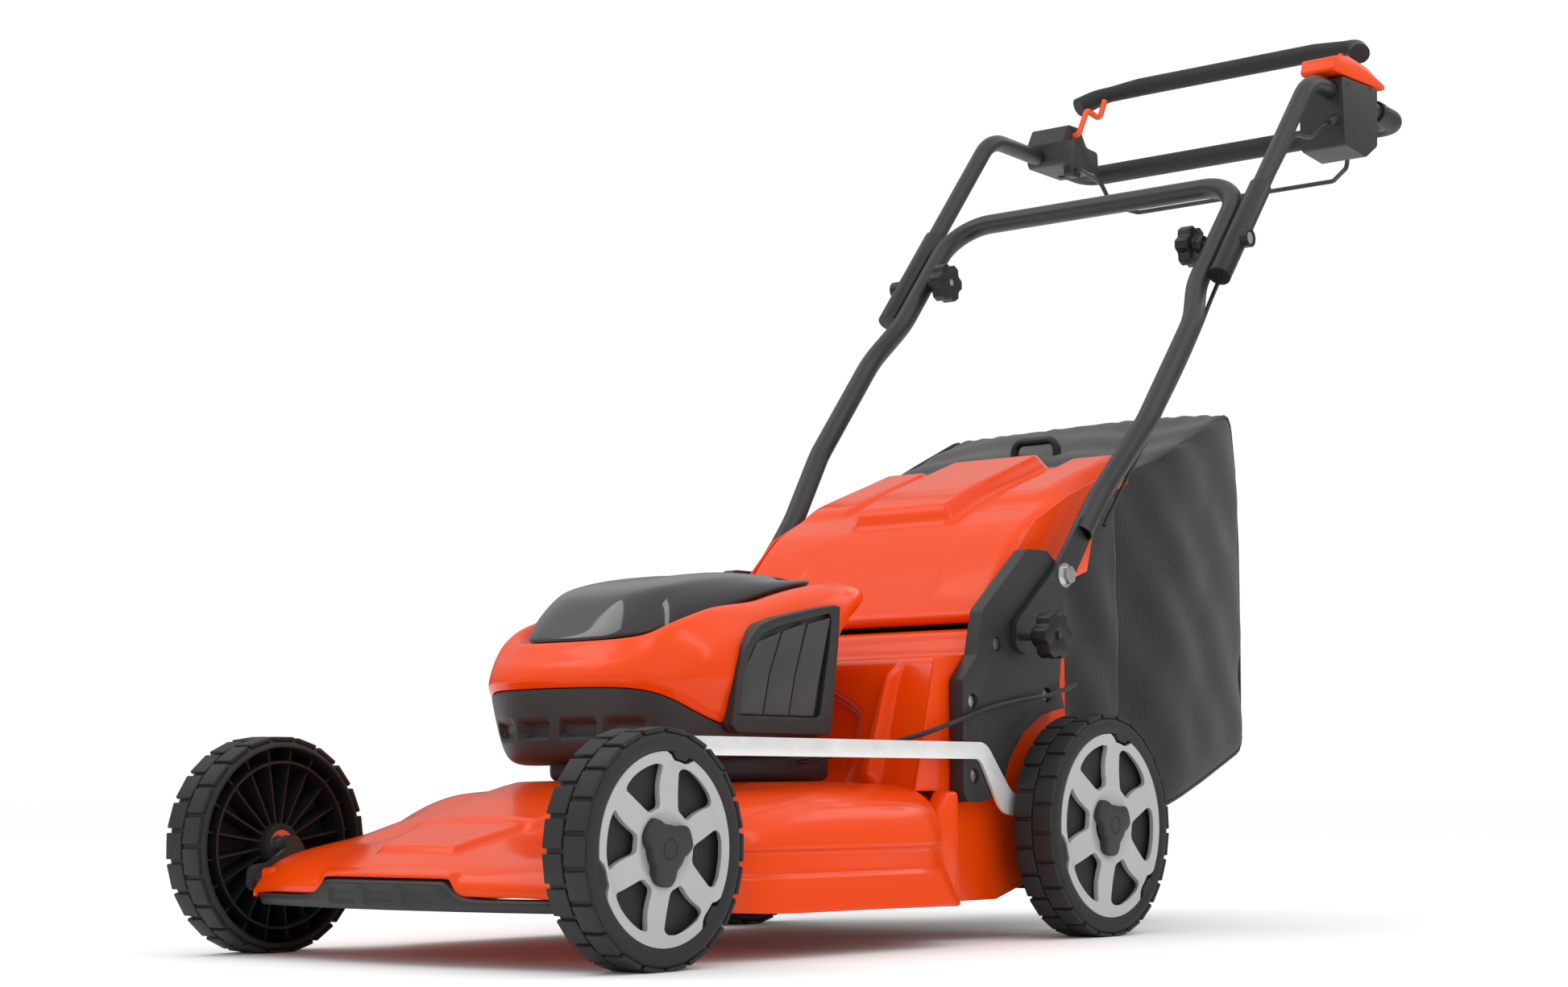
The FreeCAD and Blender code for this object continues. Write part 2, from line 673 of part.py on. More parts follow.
pad(lid, newSketch(lid, "YZ", 0.0, circles=[(*lidAxis, 1.55)]), 2 * barrelHalf + 10, both=True, cut=True)
keep(lid)

panels = []
for side, label in ((1, "left_vent_panel"), (-1, "right_vent_panel")):
    panel = doc.addObject("PartDesign::Body", label)
    ventX = side * (houseHalf + gap)
    frame = [(houseBack - 162, baseLow + 25, 6), (houseBack - 146, baseHigh + 11, 30),
             (houseBack - 120, baseHigh + 58, 14),
             (houseBack - 14, baseHigh + 80, 6), (houseBack - 41, baseLow + 18, 4)]
    slab(panel, frame, min(ventX, ventX + side * 5), max(ventX, ventX + side * 5))
    for louvre in range(3):
        edgeY = houseBack - 151 + louvre * 34
        rise = baseHigh + 43 + 7 * louvre
        opening = [(edgeY, baseLow + 36), (edgeY + 13, baseHigh + 11), (edgeY + 30, rise),
                   (edgeY + 52, rise + 5),
                   (edgeY + 38, baseHigh + 11), (edgeY + 26, baseLow + 36)]
        ends = (ventX + side * 1.5, ventX + side * 6)
        slab(panel, opening, min(ends), max(ends), cut=True)
    panels.append(panel)
keep(shift(group("vent_panels", panels)))

# ---------------------------------------------------------------- side brackets
arch = rearAxle[1] + 122.0
bracketOutline = [(-183, 150), (-183, 262, 8), (-158, 286, 8), (-146, 334, 12), (-62, 402, 12),
                  (-26, 402, 12), (2, 384, 12),
                  (4, 330, 10), (-6, 260, 10), (4, arch)]
archEnd = math.radians(164)
bracketCurve = [(rearAxle[0] + 122 * math.cos(a), rearAxle[1] + 122 * math.sin(a))
                for a in (math.radians(92), math.radians(110), math.radians(128), math.radians(146), archEnd)]
bracketShape = bracketOutline + bracketCurve + [(-150, 139), (-176, 139)]
screwSpots = [(-165, 240), (-163, 165), (-120, 300), (-30, 250)]
for side, label in ((1, "left_bracket"), (-1, "right_bracket")):
    plate = newBody(label)
    ends = (side * bracketIn, side * bracketOut)
    slab(plate, bracketShape, min(ends), max(ends))
    bolt = newSketch(plate, "YZ", 0.0, circles=[(*hinge, "Sizes.pivot_bolt_radius + Sizes.running_gap")])
    pad(plate, bolt, 3 * tunnelHalf, both=True, cut=True)
    wells = newSketch(plate, "YZ", side * (bracketOut - 9), circles=[(*spot, 8.0) for spot in screwSpots])
    pad(plate, wells, 20.0, back=side > 0, cut=True)
    stems = newSketch(plate, "YZ", 0.0, circles=[(*spot, 2.6) for spot in screwSpots])
    pad(plate, stems, 3 * tunnelHalf, both=True, cut=True)
    keep(plate)

screws = []
for side in (1, -1):
    for number, spot in enumerate(screwSpots):
        name = f"bracket_screw_{'left' if side > 0 else 'right'}_{number}"
        head = rod(name + "_head", 6.5, (side * (bracketOut - 8.7), side * (bracketOut - 4)), spot)
        stem = rod(name + "_stem", 2.5, (side * (bracketIn - 1.7), side * (bracketOut - 6)), spot)
        screws.append(fuse(name, [head, stem]))
    name = f"hinge_bolt_{'left' if side > 0 else 'right'}"
    shank = rod(name + "_shank", "Sizes.pivot_bolt_radius", (side * (bracketIn + 1), side * (plateOut + 4)),
                hinge)
    washer = rod(name + "_washer", 13.0, (side * (plateOut + gap), side * (plateOut + 2)), hinge)
    headEnds = (side * (plateOut + 2), side * (plateOut + 9))
    headOutline = [(hinge[0] + y, hinge[1] + z) for y, z in ring((0, 0), 10.0, 6, 0.3)]
    head = prism(name + "_head", headOutline, min(headEnds), max(headEnds))
    screws.append(fuse(name, [shank, washer, head]))
keep(shift(group("bracket_fasteners", screws)))

# ---------------------------------------------------------------- rear flap and trailing skirt
flapHalf = tunnelHalf - size("flap_inset")
skinF = size("flap_wall")
flapTop = [(-110, 327), (-92, 344, 30), (-52, 398, 120), (-8, 442, 120), (60, 476, 200), (190, 523)]
flapUnder = [(192, 519.6), (61, 472, 200), (-6, 438, 120), (-49, 395, 120), (-89, 341, 30), (-107, 322.5)]
flap = newBody("rear_flap")
slab(flap, flapTop + flapUnder, -flapHalf, flapHalf)
sideWall = [(-104, 331), (-90.5, 342.5), (-50.5, 396.5), (-6.5, 438.6), (60.5, 474), (130, 499.2), (94, 388),
            (-84, 330), (-98, 321)]
for side in (1, -1):
    ends = (side * (flapHalf - skinF), side * flapHalf)
    slab(flap, sideWall, min(ends), max(ends))
hump = [(-15, 432.5), (-6, 448, 10), (60, 487, 60), (238, 542), (240, 536), (188, 516)]
slab(flap, hump, -68.0, 68.0)
humpHollow = [(10, 420), (10, 453.4), (60, 483.2, 60), (250, 541.9), (250, 490), (61, 440)]
slab(flap, humpHollow, -64.0, 64.0, cut=True)
barrel = newSketch(flap, "YZ", 0.0, circles=[(*flapHinge, 7.0)])
pad(flap, barrel, 2 * flapHalf, both=True)
pinHole = newSketch(flap, "YZ", 0.0, circles=[(*flapHinge, "Sizes.flap_pin_radius + Sizes.running_gap")])
pad(flap, pinHole, 4 * flapHalf, both=True, cut=True)
keep(flap)
keep(shift(rod("flap_hinge_rod", "Sizes.flap_pin_radius", (-tunnelHalf - 1, tunnelHalf + 1), flapHinge)))

skirt = newBody("trailing_skirt")
skirtHinge = (12.0, 128.0)
skirtHalf = insideHalf - 1.0
sheetOutline = [(skirtHinge[0] - 4, skirtHinge[1] + 4), (skirtHinge[0] + 4, skirtHinge[1] + 4),
                (skirtHinge[0] + 3, 47),
                (skirtHinge[0] - 1, 47)]
slab(skirt, sheetOutline, -skirtHalf, skirtHalf)
pins = newSketch(skirt, "YZ", 0.0, circles=[(*skirtHinge, "Sizes.skirt_pin_radius")])
pad(skirt, pins, 2 * (tunnelHalf - 0.5), both=True)
keep(skirt)

# ---------------------------------------------------------------- cranked axles, link bar, drive
stubEnd = wheelIn + size("wheel_width") - 8


def crankPlate(label, pivot, axle, pin, side):
    ends = (side * crankIn, side * (crankIn + size("crank_thickness")))
    outline = [(pivot[0] - 13, pivot[1] - 11, 8), (pivot[0] - 11, pin[1] + 10 if pin else pivot[1] + 12, 8),
               (pivot[0] + 11, pin[1] + 10 if pin else pivot[1] + 14, 8), (axle[0] + 13, axle[1] + 11, 8),
               (axle[0] + 11, axle[1] - 13, 8), (pivot[0] + 8, pivot[1] - 13, 6)]
    return prism(label, outline, min(ends), max(ends))


def crankedAxle(label, pivot, axle, pin):
    pieces = [rod(label + "_cross", "Sizes.axle_radius", (-crankIn - 2, crankIn + 2), pivot)]
    for side, name in ((1, "_left"), (-1, "_right")):
        pieces.append(crankPlate(label + name + "_crank", pivot, axle, pin if side > 0 else None, side))
        pieces.append(rod(label + name + "_stub", "Sizes.axle_radius",
                          (side * (crankIn + 1), side * stubEnd), axle))
        collar = (side * (crankIn + 1), side * (wheelIn - 1.5))
        pieces.append(rod(label + name + "_collar", size("axle_radius") + 3, collar, axle))
    pinEnds = (crankIn + 1, linkIn + size("link_thickness") + 2)
    pieces.append(rod(label + "_pin", 4.0, pinEnds, pin))
    return shift(fuse(label, pieces))


keep(crankedAxle("front_axle", frontPivot, frontAxle, frontPin))
keep(crankedAxle("rear_axle", rearPivot, rearAxle, rearPin))

linkBar = newBody("link_bar")
deep = size("link_height")
top = size("link_top")
barOutline = [(frontPin[0] - 11, frontPin[1] + 2, 8), (frontPin[0] + 4, frontPin[1] + 14, 10),
              (frontPin[0] + 92, top - 4, 30),
              (frontPin[0] + 130, top, 60), (-150, top, 26), (-104, rearPin[1] + 18, 30),
              (rearPin[0] + 8, rearPin[1] + 10, 8),
              (rearPin[0] + 10, rearPin[1] - 8, 6), (rearPin[0] - 10, rearPin[1] - 9, 6),
              (-122, rearPin[1] - 2, 30),
              (-160, top - deep, 14), (frontPin[0] + 130, top - deep, 60),
              (frontPin[0] + 96, top - deep - 4, 30),
              (frontPin[0] + 10, frontPin[1] - 9, 6)]
slab(linkBar, barOutline, linkIn, linkIn + size("link_thickness"))
eyes = newSketch(linkBar, "YZ", 0.0, circles=[(*frontPin, 4.3), (*rearPin, 4.05)])
pad(linkBar, eyes, 4 * tunnelHalf, both=True, cut=True)
keep(linkBar)

leverIn = crankIn + size("crank_thickness") + 1.0
leverTip = (rearPivot[0] - 72, rearPivot[1] + 134)
hubPlate = rod("height_lever_hub", 14.0, (-leverIn + gap, -leverIn - 4), rearPivot)
hubHole = rod("height_lever_hole", size("axle_radius") + 0.02, (-leverIn + 5, -leverIn - 8), rearPivot)
armOutline = [(rearPivot[0] - 9, rearPivot[1] + 2), (leverTip[0] - 7, leverTip[1] - 4, 3),
              (leverTip[0] + 7, leverTip[1] + 2, 3),
              (rearPivot[0] + 9, rearPivot[1] + 6)]
leverArm = prism("height_lever_arm", armOutline, -leverIn - 4, -leverIn)
gripOutline = [(leverTip[0] + 8, leverTip[1] - 46, 6), (leverTip[0] - 14, leverTip[1] + 4, 8),
               (leverTip[0] + 4, leverTip[1] + 14, 8),
               (leverTip[0] + 26, leverTip[1] - 36, 6)]
leverGrip = prism("height_lever_grip", gripOutline, -leverIn - 9, -leverIn + gap)
lever = cutAway("height_lever", fuse("height_lever_whole", [hubPlate, leverArm, leverGrip]), [hubHole])
keep(shift(lever))

gearbox = newBody("drive_gearbox")
caseHalf = 62.0
case = [(rearPivot[0] + y, rearPivot[1] + z, 7) for y, z in ((-24.4, -10.2), (11.9, 29.7), (35.0, 8.7),
                                                             (-1.4, -31.2))]
slab(gearbox, case, -caseHalf, caseHalf)
crossHole = newSketch(gearbox, "YZ", 0.0, circles=[(*rearPivot, "Sizes.axle_radius + Sizes.running_gap")])
pad(gearbox, crossHole, 4 * caseHalf, both=True, cut=True)
keep(gearbox)


# ---------------------------------------------------------------- wheels
def wheelSet(label, side, axle, radius, sealed):
    """One wheel: moulded wheel with its tread, grey trim, hub cap and a ball bearing."""
    place = (Vector(side * wheelIn, axle[0], axle[1]), 0 if side > 0 else 180)
    width = size("wheel_width")
    hubR = size("hub_radius")
    bore = size("bearing_radius") + 0.02 if sealed else size("axle_radius") + size("running_gap")
    innerR = radius - size("tread_inner")
    outerR = radius - size("tread_outer")
    wheel = newBody(label + "_wheel", place)
    section = [(4, bore), (4, hubR), (33, hubR), (33, innerR), (0, innerR), (0, radius - 4, 2), (4, radius),
               (width - 4, radius),
               (width, radius - 4, 2), (width, outerR), (37, outerR), (37, hubR), (40, hubR),
               (40, size("axle_radius") + 0.05)]
    if sealed:
        step = 4 + size("bearing_width")
        section += [(step, size("axle_radius") + 0.05), (step, bore)]
    turn(wheel, section)
    rimRib = radius * 0.77
    turn(wheel, [(3, rimRib - 1.2), (34, rimRib - 1.2), (34, rimRib + 1.2), (3, rimRib + 1.2)])
    ribLine = [(-0.9, hubR - 0.5), (0.9, hubR - 0.5), (0.9, innerR + 0.5), (-0.9, innerR + 0.5)]
    rib = pad(wheel, newSketch(wheel, "YZ", 10.0, ribLine), 23.5)
    around(wheel, rib, "Sizes.rib_count")
    keep(wheel)
    if sealed:
        race = newBody(label + "_bearing", place)
        turn(race, [(4.2, size("axle_radius") + 0.05), (4.2, bore - 0.02), (step - 0.2, bore - 0.02),
                    (step - 0.2, size("axle_radius") + 0.05)])
        keep(race)
    trim = newBody(label + "_trim", place)
    edge = outerR - gap
    thick = size("trim_thickness")
    face = [(37 + gap, hubR + 1), (41.5, hubR + 1), (41.5, edge * 0.32), (44, edge * 0.37), (44.5, edge - 9),
            (38 + thick, edge - 6), (38 + thick, edge), (37 + gap, edge)]
    turn(trim, face)
    inner = edge * 0.43
    outerWindow = edge * 0.84
    spread = math.radians(19)
    window = [(inner * math.sin(-spread * 0.8), inner * math.cos(spread * 0.8), 4),
              (outerWindow * math.sin(-spread), outerWindow * math.cos(spread), 7),
              (0, outerWindow * 1.035, 45),
              (outerWindow * math.sin(spread), outerWindow * math.cos(spread), 7),
              (inner * math.sin(spread * 0.8), inner * math.cos(spread * 0.8), 4)]
    cutOut = pad(trim, newSketch(trim, "YZ", 30.0, window), 30.0, back=True, cut=True)
    around(trim, cutOut, "Sizes.spoke_count")
    keep(trim)
    cap = newBody(label + "_cap", place)
    lobes = []
    for number in range(3):
        middle = math.radians(90 + 120 * number)
        for offset, far in ((-0.62, "cap_radius"), (-0.30, "cap_lobe"), (0.30, "cap_lobe"),
                            (0.62, "cap_radius")):
            reachR = size(far)
            lobes.append((reachR * math.cos(middle + offset), reachR * math.sin(middle + offset), 2.5))
    pad(cap, newSketch(cap, "YZ", 45.0, lobes), 6.0)
    boss = newSketch(cap, "YZ", 50.5, circles=[(0, 0, 16.0)])
    pad(cap, boss, 2.0)
    plug = newSketch(cap, "YZ", 43.0, circles=[(0, 0, hubR - 0.5)])
    pad(cap, plug, 2.5)
    keep(cap)


for side, name in ((1, "left"), (-1, "right")):
    wheelSet("front_" + name, side, frontAxle, size("front_wheel_radius"), True)
    wheelSet("rear_" + name, side, rearAxle, size("rear_wheel_radius"), False)


# ---------------------------------------------------------------- lower handle
def lowerRoute(side):
    reaches = [(62, flatX), (118, flatX + 1), (232, upperX - 8), (398, upperX - 8), (462, flatX)]
    return [(side * x, *up(reach)) for reach, x in reaches]


crossCorner = 646.0
leftRoute = lowerRoute(1)
rightRoute = list(reversed(lowerRoute(-1)))
route = leftRoute + [(flatX, *up(crossCorner)), (-flatX, *up(crossCorner))] + rightRoute
lowerPath = path("lower_tube", route, [200, 140, 120, 120, 55, 55, 120, 120, 140, 200])
lowerPieces = [sweep("lower_tube", lowerPath, "Sizes.lower_tube_radius")]
lowerBore = sweep("lower_tube_bore", lowerPath, "Sizes.lower_tube_radius - Sizes.tube_wall")
normal = (-along[1], along[0])
plateHalf = tubeLower + 1.5


def across(point, distance):
    return (point[0] + distance * normal[0], point[1] + distance * normal[1])


for side in (1, -1):
    name = "left" if side > 0 else "right"
    outline = [(*across(up(80), plateHalf), 10), (*across(up(80), -plateHalf), 10),
               (*across(up(5), -plateHalf - 2), 30),
               (clamp[0] + 13, clamp[1] - 18, 12), (clamp[0] - 14, clamp[1] - 12, 12),
               (clamp[0] - 10, clamp[1] + 16, 12),
               (*across(up(0), plateHalf + 2), 30)]
    ends = (side * plateIn, side * plateOut)
    lowerPieces.append(prism(f"{name}_handle_plate", outline, min(ends), max(ends)))
    lowerPieces.append(rod(f"{name}_clamp_stud", "Sizes.clamp_bolt_radius",
                           (side * (plateOut - 1), side * (plateOut + 47)), clamp))
lowerWhole = fuse("lower_handle_whole", lowerPieces)
lowerHoles = [lowerBore, rod("hinge_hole", "Sizes.pivot_bolt_radius + Sizes.running_gap",
                             (-2 * tunnelHalf, 2 * tunnelHalf), hinge),
              rod("fold_hole", "Sizes.clamp_bolt_radius + Sizes.running_gap",
                  (-2 * tunnelHalf, 2 * tunnelHalf), fold)]
keep(shift(cutAway("lower_handle", lowerWhole, lowerHoles)))


# ---------------------------------------------------------------- star knobs
def starKnob(label, centre, face, direction):
    """A six-lobed knob with a neck; face is the x of its outer side, direction points that way."""
    lobes = int(size("knob_lobes"))
    outer = size("knob_radius")
    points = []
    for number in range(lobes):
        angle = 2 * math.pi * number / lobes
        step = math.pi / lobes
        points.append((centre[0] + outer * math.cos(angle - 0.2), centre[1] + outer * math.sin(angle - 0.2),
                       4))
        points.append((centre[0] + outer * math.cos(angle + 0.2), centre[1] + outer * math.sin(angle + 0.2),
                       4))
        points.append((centre[0] + outer * 0.8 * math.cos(angle + step),
                       centre[1] + outer * 0.8 * math.sin(angle + step), 5))
    head = (face, face - direction * 17)
    neck = (face - direction * 16, face - direction * 28)
    pieces = [prism(label + "_head", points, min(head), max(head)), rod(label + "_neck", 11.0, neck, centre)]
    bore = rod(label + "_bore", "Sizes.clamp_bolt_radius + Sizes.running_gap",
               (face + direction * 5, face - direction * 40), centre)
    return keep(shift(cutAway(label, fuse(label + "_whole", pieces), [bore])))


for side, name in ((1, "left"), (-1, "right")):
    starKnob(f"{name}_clamp_knob", clamp, side * (plateOut + 45), side)
    starKnob(f"{name}_fold_knob", fold, side * (flatX - tubeLower - 30), -side)

# ---------------------------------------------------------------- upper handle
sleeveLow = (301.0, 747.5)
lift = (fold[0] - sleeveLow[0]) / along[0]
sleeveLow = up(foldReach - lift)
bendReach = (1022.0 - sleeveLow[1]) / along[1]
bend = (sleeveLow[0] + bendReach * along[0], sleeveLow[1] + bendReach * along[1])
upperRoute = [(upperX, *sleeveLow), (upperX, *bend), (upperX, *gripPoint), (-upperX, *gripPoint),
              (-upperX, *bend),
              (-upperX, *sleeveLow)]
upperPath = path("upper_tube", upperRoute, [60, 42, 42, 60])
upperTube = sweep("upper_tube", upperPath, "Sizes.upper_tube_radius")
upperBore = sweep("upper_tube_bore", upperPath, "Sizes.upper_tube_radius - Sizes.tube_wall")
foldHole = rod("upper_fold_hole", "Sizes.clamp_bolt_radius + Sizes.running_gap",
               (-2 * tunnelHalf, 2 * tunnelHalf), fold)
keep(shift(cutAway("upper_handle", upperTube, [upperBore, foldHole])))

sleeves = []
for side, name in ((1, "left"), (-1, "right")):
    low = (side * upperX, sleeveLow[0] - 8 * along[0], sleeveLow[1] - 8 * along[1])
    high = (side * upperX, sleeveLow[0] + 152 * along[0], sleeveLow[1] + 152 * along[1])
    outerSleeve = sweep(f"{name}_sleeve_outer", path(f"{name}_sleeve_outer", [low, high], 0), sleeveRadius)
    start = (side * upperX, sleeveLow[0] - 3 * along[0], sleeveLow[1] - 3 * along[1])
    beyond = (side * upperX, sleeveLow[0] + 160 * along[0], sleeveLow[1] + 160 * along[1])
    innerSleeve = sweep(f"{name}_sleeve_inner", path(f"{name}_sleeve_inner", [start, beyond], 0),
                        tubeUpper + 0.05)
    boss = rod(f"{name}_sleeve_boss", 11.0, (side * (upperX + 5), side * (upperX + 20)), fold)
    hole = rod(f"{name}_sleeve_hole", "Sizes.clamp_bolt_radius + Sizes.running_gap",
               (0, side * 2 * tunnelHalf), fold)
    recess = rod(f"{name}_sleeve_recess", 8.0, (side * (upperX + 16), side * (upperX + 30)), fold)
    whole = fuse(f"{name}_sleeve_whole", [outerSleeve, boss])
    sleeves.append(cutAway(f"{name}_sleeve_piece", whole, [innerSleeve, hole, recess]))
keep(shift(group("handle_sleeves", sleeves)))

bolts = []
for side, name in ((1, "left"), (-1, "right")):
    shank = rod(f"{name}_fold_bolt_shank", "Sizes.clamp_bolt_radius",
                (side * (flatX - tubeLower - 31), side * (upperX + 17)), fold)
    head = rod(f"{name}_fold_bolt_head", 7.0, (side * (upperX + 16.1), side * (upperX + 19)), fold)
    bolts.append(fuse(f"{name}_fold_bolt", [shank, head]))
keep(shift(group("fold_bolts", bolts)))

gripRoute = [(upperX - 60, *gripPoint), (60 - upperX, *gripPoint)]
gripPath = path("grip_foam", gripRoute, 0)
gripOuter = sweep("grip_foam_outer", gripPath, tubeUpper + size("grip_wall"))
gripInner = sweep("grip_foam_inner", gripPath, tubeUpper + 0.05)
keep(shift(cutAway("grip_foam", gripOuter, [gripInner])))

# ---------------------------------------------------------------- controls
bailPivot = (668.0, 1047.0)
drivePivot = (672.0, 1000.0)
boxIn = upperX - 43
boxOut = upperX + 18
slope = (gripPoint[1] - bend[1]) / (gripPoint[0] - bend[0])


def tubeHeight(y):
    return bend[1] + slope * (y - bend[0])


def straightHole(label, side, radius):
    ends = [(side * upperX, y, tubeHeight(y)) for y in (bend[0] + 20, gripPoint[0] - 30)]
    return sweep(label, path(label, ends, 0), radius)


boxOutline = [(584, 948, 8), (580, 1034, 4), (676, 1036, 4), (672, 962, 8), (640, 942, 8)]
boxSolid = prism("control_box_solid", boxOutline, boxIn, boxOut)
gland = sweep("control_box_gland", path("control_box_gland",
                                        [(boxOut - 12, 588, 985), (boxOut - 12, 562, 973)], 0), 6.0)
boxHoles = [straightHole("control_box_tube_hole", 1, tubeUpper + gap),
            rod("control_box_drive_hole", size("drive_bail_radius") + 0.05, (boxIn - 5, boxIn + 14),
                drivePivot)]
buttonIn = boxIn + 14.0
leverPivot = (600.0, 1046.0)
leverEar = prism("control_box_ear", [(594, 1028), (594, 1050, 5), (606, 1050, 5), (606, 1028)],
                 buttonIn - 4 - gap,
                 buttonIn - gap)
leverPin = rod("control_box_ear_pin", "Sizes.lever_pin_radius", (buttonIn - 3, buttonIn + 8), leverPivot)
bailLug = prism("control_box_lug", [(654, 1030), (656, 1056, 6), (680, 1056, 6), (682, 1030)],
                boxIn, boxIn + 12)
boxHoles.append(rod("control_box_bail_hole", size("bail_radius") + 0.05, (boxIn - 5, boxIn + 9), bailPivot))
boxWhole = fuse("control_box_whole", [boxSolid, gland, bailLug, leverEar, leverPin])
keep(shift(cutAway("control_box", boxWhole, boxHoles)))

blockOutline = [(640, 1004, 8), (640, 1036, 8), (654, 1060, 6), (684, 1060, 6), (700, 1036, 10),
                (728, 1034, 6), (730, 1002, 8)]
blockSolid = prism("pivot_block_solid", blockOutline, -(upperX + 15), -boxIn)
driveLug = prism("pivot_block_lug", [(660, 1006), (660, 990, 6), (684, 990, 6), (684, 1006)], -(boxIn + 12),
                 -boxIn)
blockHoles = [straightHole("pivot_block_tube_hole", -1, tubeUpper + gap),
              rod("pivot_block_bail_hole", size("bail_radius") + 0.05, (5 - boxIn, -boxIn - 9), bailPivot),
              rod("pivot_block_drive_hole", size("drive_bail_radius") + 0.05, (5 - boxIn, -boxIn - 14),
                  drivePivot)]
keep(shift(cutAway("pivot_block", fuse("pivot_block_whole", [blockSolid, driveLug]), blockHoles)))

rodX = boxIn - 8.0
bailTop = (740.0, 1112.0)
rods = []
for side, name in ((1, "left"), (-1, "right")):
    points = [(side * (boxIn + 8), *bailPivot), (side * rodX, *bailPivot), (side * rodX, 690.0, 1086.0),
              (side * (rodX - 4), 716.0, 1078.0), (side * (rodX - 6), 727.0, 1106.0)]
    rods.append(sweep(f"{name}_bail_rod", path(f"{name}_bail_rod", points, [7, 7, 9]), "Sizes.bail_radius"))
keep(shift(group("bail_rods", rods)))
gripX = rodX + 6
bailRoute = [(gripX + 2, 722.0, 1107.0), (gripX, 743.0, 1122.0), (gripX - 50, *bailTop),
             (50 - gripX, *bailTop),
             (-gripX, 743.0, 1122.0), (-gripX - 2, 722.0, 1107.0)]
bailBar = sweep("bail_grip_bar", path("bail_grip_bar", bailRoute, [10, 25, 25, 10]), 9.0)
thumbTab = prism("bail_grip_tab", [(732, 1104), (730, 1125, 3), (754, 1124, 3), (752, 1104)], -24.0, 24.0)
sockets = []
for side, name in ((1, "left"), (-1, "right")):
    points = [(side * (rodX - 4.8), 720.0, 1089.0), (side * (rodX - 6.0), 727.0, 1107.0)]
    extended = path(f"{name}_socket", points, 0)
    sockets.append(sweep(f"{name}_socket_bore", extended, size("bail_radius") + 0.02))
keep(shift(cutAway("bail_grip", fuse("bail_grip_whole", [bailBar, thumbTab]), sockets)))

driveDrop = (758.0, 948.0)
driveX = boxIn - 6.0
driveRoute = [(boxIn + 12, *drivePivot), (driveX, *drivePivot), (driveX, 726.0, 990.0),
              (driveX - 10, 738.0, 958.0),
              (driveX - 40, *driveDrop), (40 - driveX, *driveDrop), (10 - driveX, 738.0, 958.0),
              (-driveX, 726.0, 990.0),
              (-driveX, *drivePivot), (-boxIn - 12, *drivePivot)]
driveBar = sweep("drive_bail", path("drive_bail", driveRoute, [5, 12, 12, 10, 10, 12, 12, 5]),
                 "Sizes.drive_bail_radius")
keep(shift(driveBar))

button = newBody("start_lever")
cover = [(560, 1038, 4), (566, 1058, 8), (600, 1064, 14), (650, 1060, 10), (676, 1052, 6), (700, 1046, 3),
         (698, 1040, 2), (604, 1038)]
slab(button, cover, buttonIn, boxOut - 1)
leverBore = newSketch(button, "YZ", buttonIn + 9, circles=[(*leverPivot,
                                                            "Sizes.lever_pin_radius + Sizes.running_gap")])
pad(button, leverBore, 12.0, cut=True)
keep(button)

# ---------------------------------------------------------------- grass bag
bagHalf = size("bag_half")
mouthHalf = tunnelHalf - 18
cloth = size("bag_wall")
neckSide = [(34, 196, 8), (34, 432, 14), (128, 486, 30), (160, 499), (160, 150)]
bag = newBody("grass_bag")
slab(bag, neckSide, -mouthHalf, mouthHalf)
rear = [(140, 158), (140, 491), (196, 512, 60), (386, 598, 14), (408, 470, 200), (404, 196, 12),
        (226, 128, 20)]
slab(bag, rear, -bagHalf, bagHalf)
neckInner = [(20, 200), (20, 429), (34, 429), (128, 482.5), (160, 494.5), (160, 155), (40, 199)]
slab(bag, neckInner, cloth - mouthHalf, mouthHalf - cloth, cut=True)
rearInner = [(143, 162), (143, 488.5), (196, 508, 60), (383, 593, 12), (404.5, 470, 200), (400.5, 199, 10),
             (227, 132, 18)]
slab(bag, rearInner, cloth - bagHalf, bagHalf - cloth, cut=True)
keep(bag)

mouth = newBody("bag_frame")
mouthOuter = [(-mouthHalf, 196, 14), (-mouthHalf, 430, 14), (mouthHalf, 430, 14), (mouthHalf, 196, 14)]
mouthInner = [(9 - mouthHalf, 205, 8), (9 - mouthHalf, 421, 8), (mouthHalf - 9, 421, 8),
              (mouthHalf - 9, 205, 8)]
frameSketch = newSketch(mouth, "XZ", -(34 - gap), mouthOuter)
for curve in rounded(mouthInner):
    frameSketch.addGeometry(curve, False)
pad(mouth, frameSketch, 7.0)
keep(mouth)

bagLoop = path("bag_handle", [(-30, 268, 538), (-30, 268, 566), (30, 268, 566), (30, 268, 538)], [12, 12])
roofSlope = (598 - 512) / (386 - 196)
roof = [(240, 512 + 44 * roofSlope + gap), (240, 500), (300, 500), (300, 512 + 104 * roofSlope + gap)]
bagSeat = prism("bag_handle_seat", roof, -60, 60)
keep(shift(cutAway("bag_handle", sweep("bag_handle_loop", bagLoop, 5.0), [bagSeat])))

# ---------------------------------------------------------------- cables
cableRadius = "Sizes.cable_radius"
glandMouth = (boxOut - 12, 561.0, 972.5)
upperCable = [glandMouth, (boxOut - 12, 545.0, 965.0), (upperX + 4, 520.0, 945.0),
              (upperX, *across((bend[0] - 85 * along[0], bend[1] - 85 * along[1]), -(tubeUpper + 5))),
              (upperX - 4, *across(up(foldReach + 115), -(tubeUpper + 5))),
              (upperX - 17, *across(up(foldReach + 30), -(sleeveRadius + 8)))]
lowerCable = [(upperX - 17, *across(up(foldReach + 26), -(sleeveRadius + 8))),
              (upperX - 17, *across(up(foldReach - 60), -(sleeveRadius + 8))),
              (upperX - 8, *across(up(foldReach - 150), -(tubeLower + 4))),
              (upperX - 8, *across(up(300), -(tubeLower + 4))),
              (flatX + 12, *across(up(180), -(tubeLower + 4))),
              (flatX + 9, *across(up(90), -(tubeLower + 6)))]
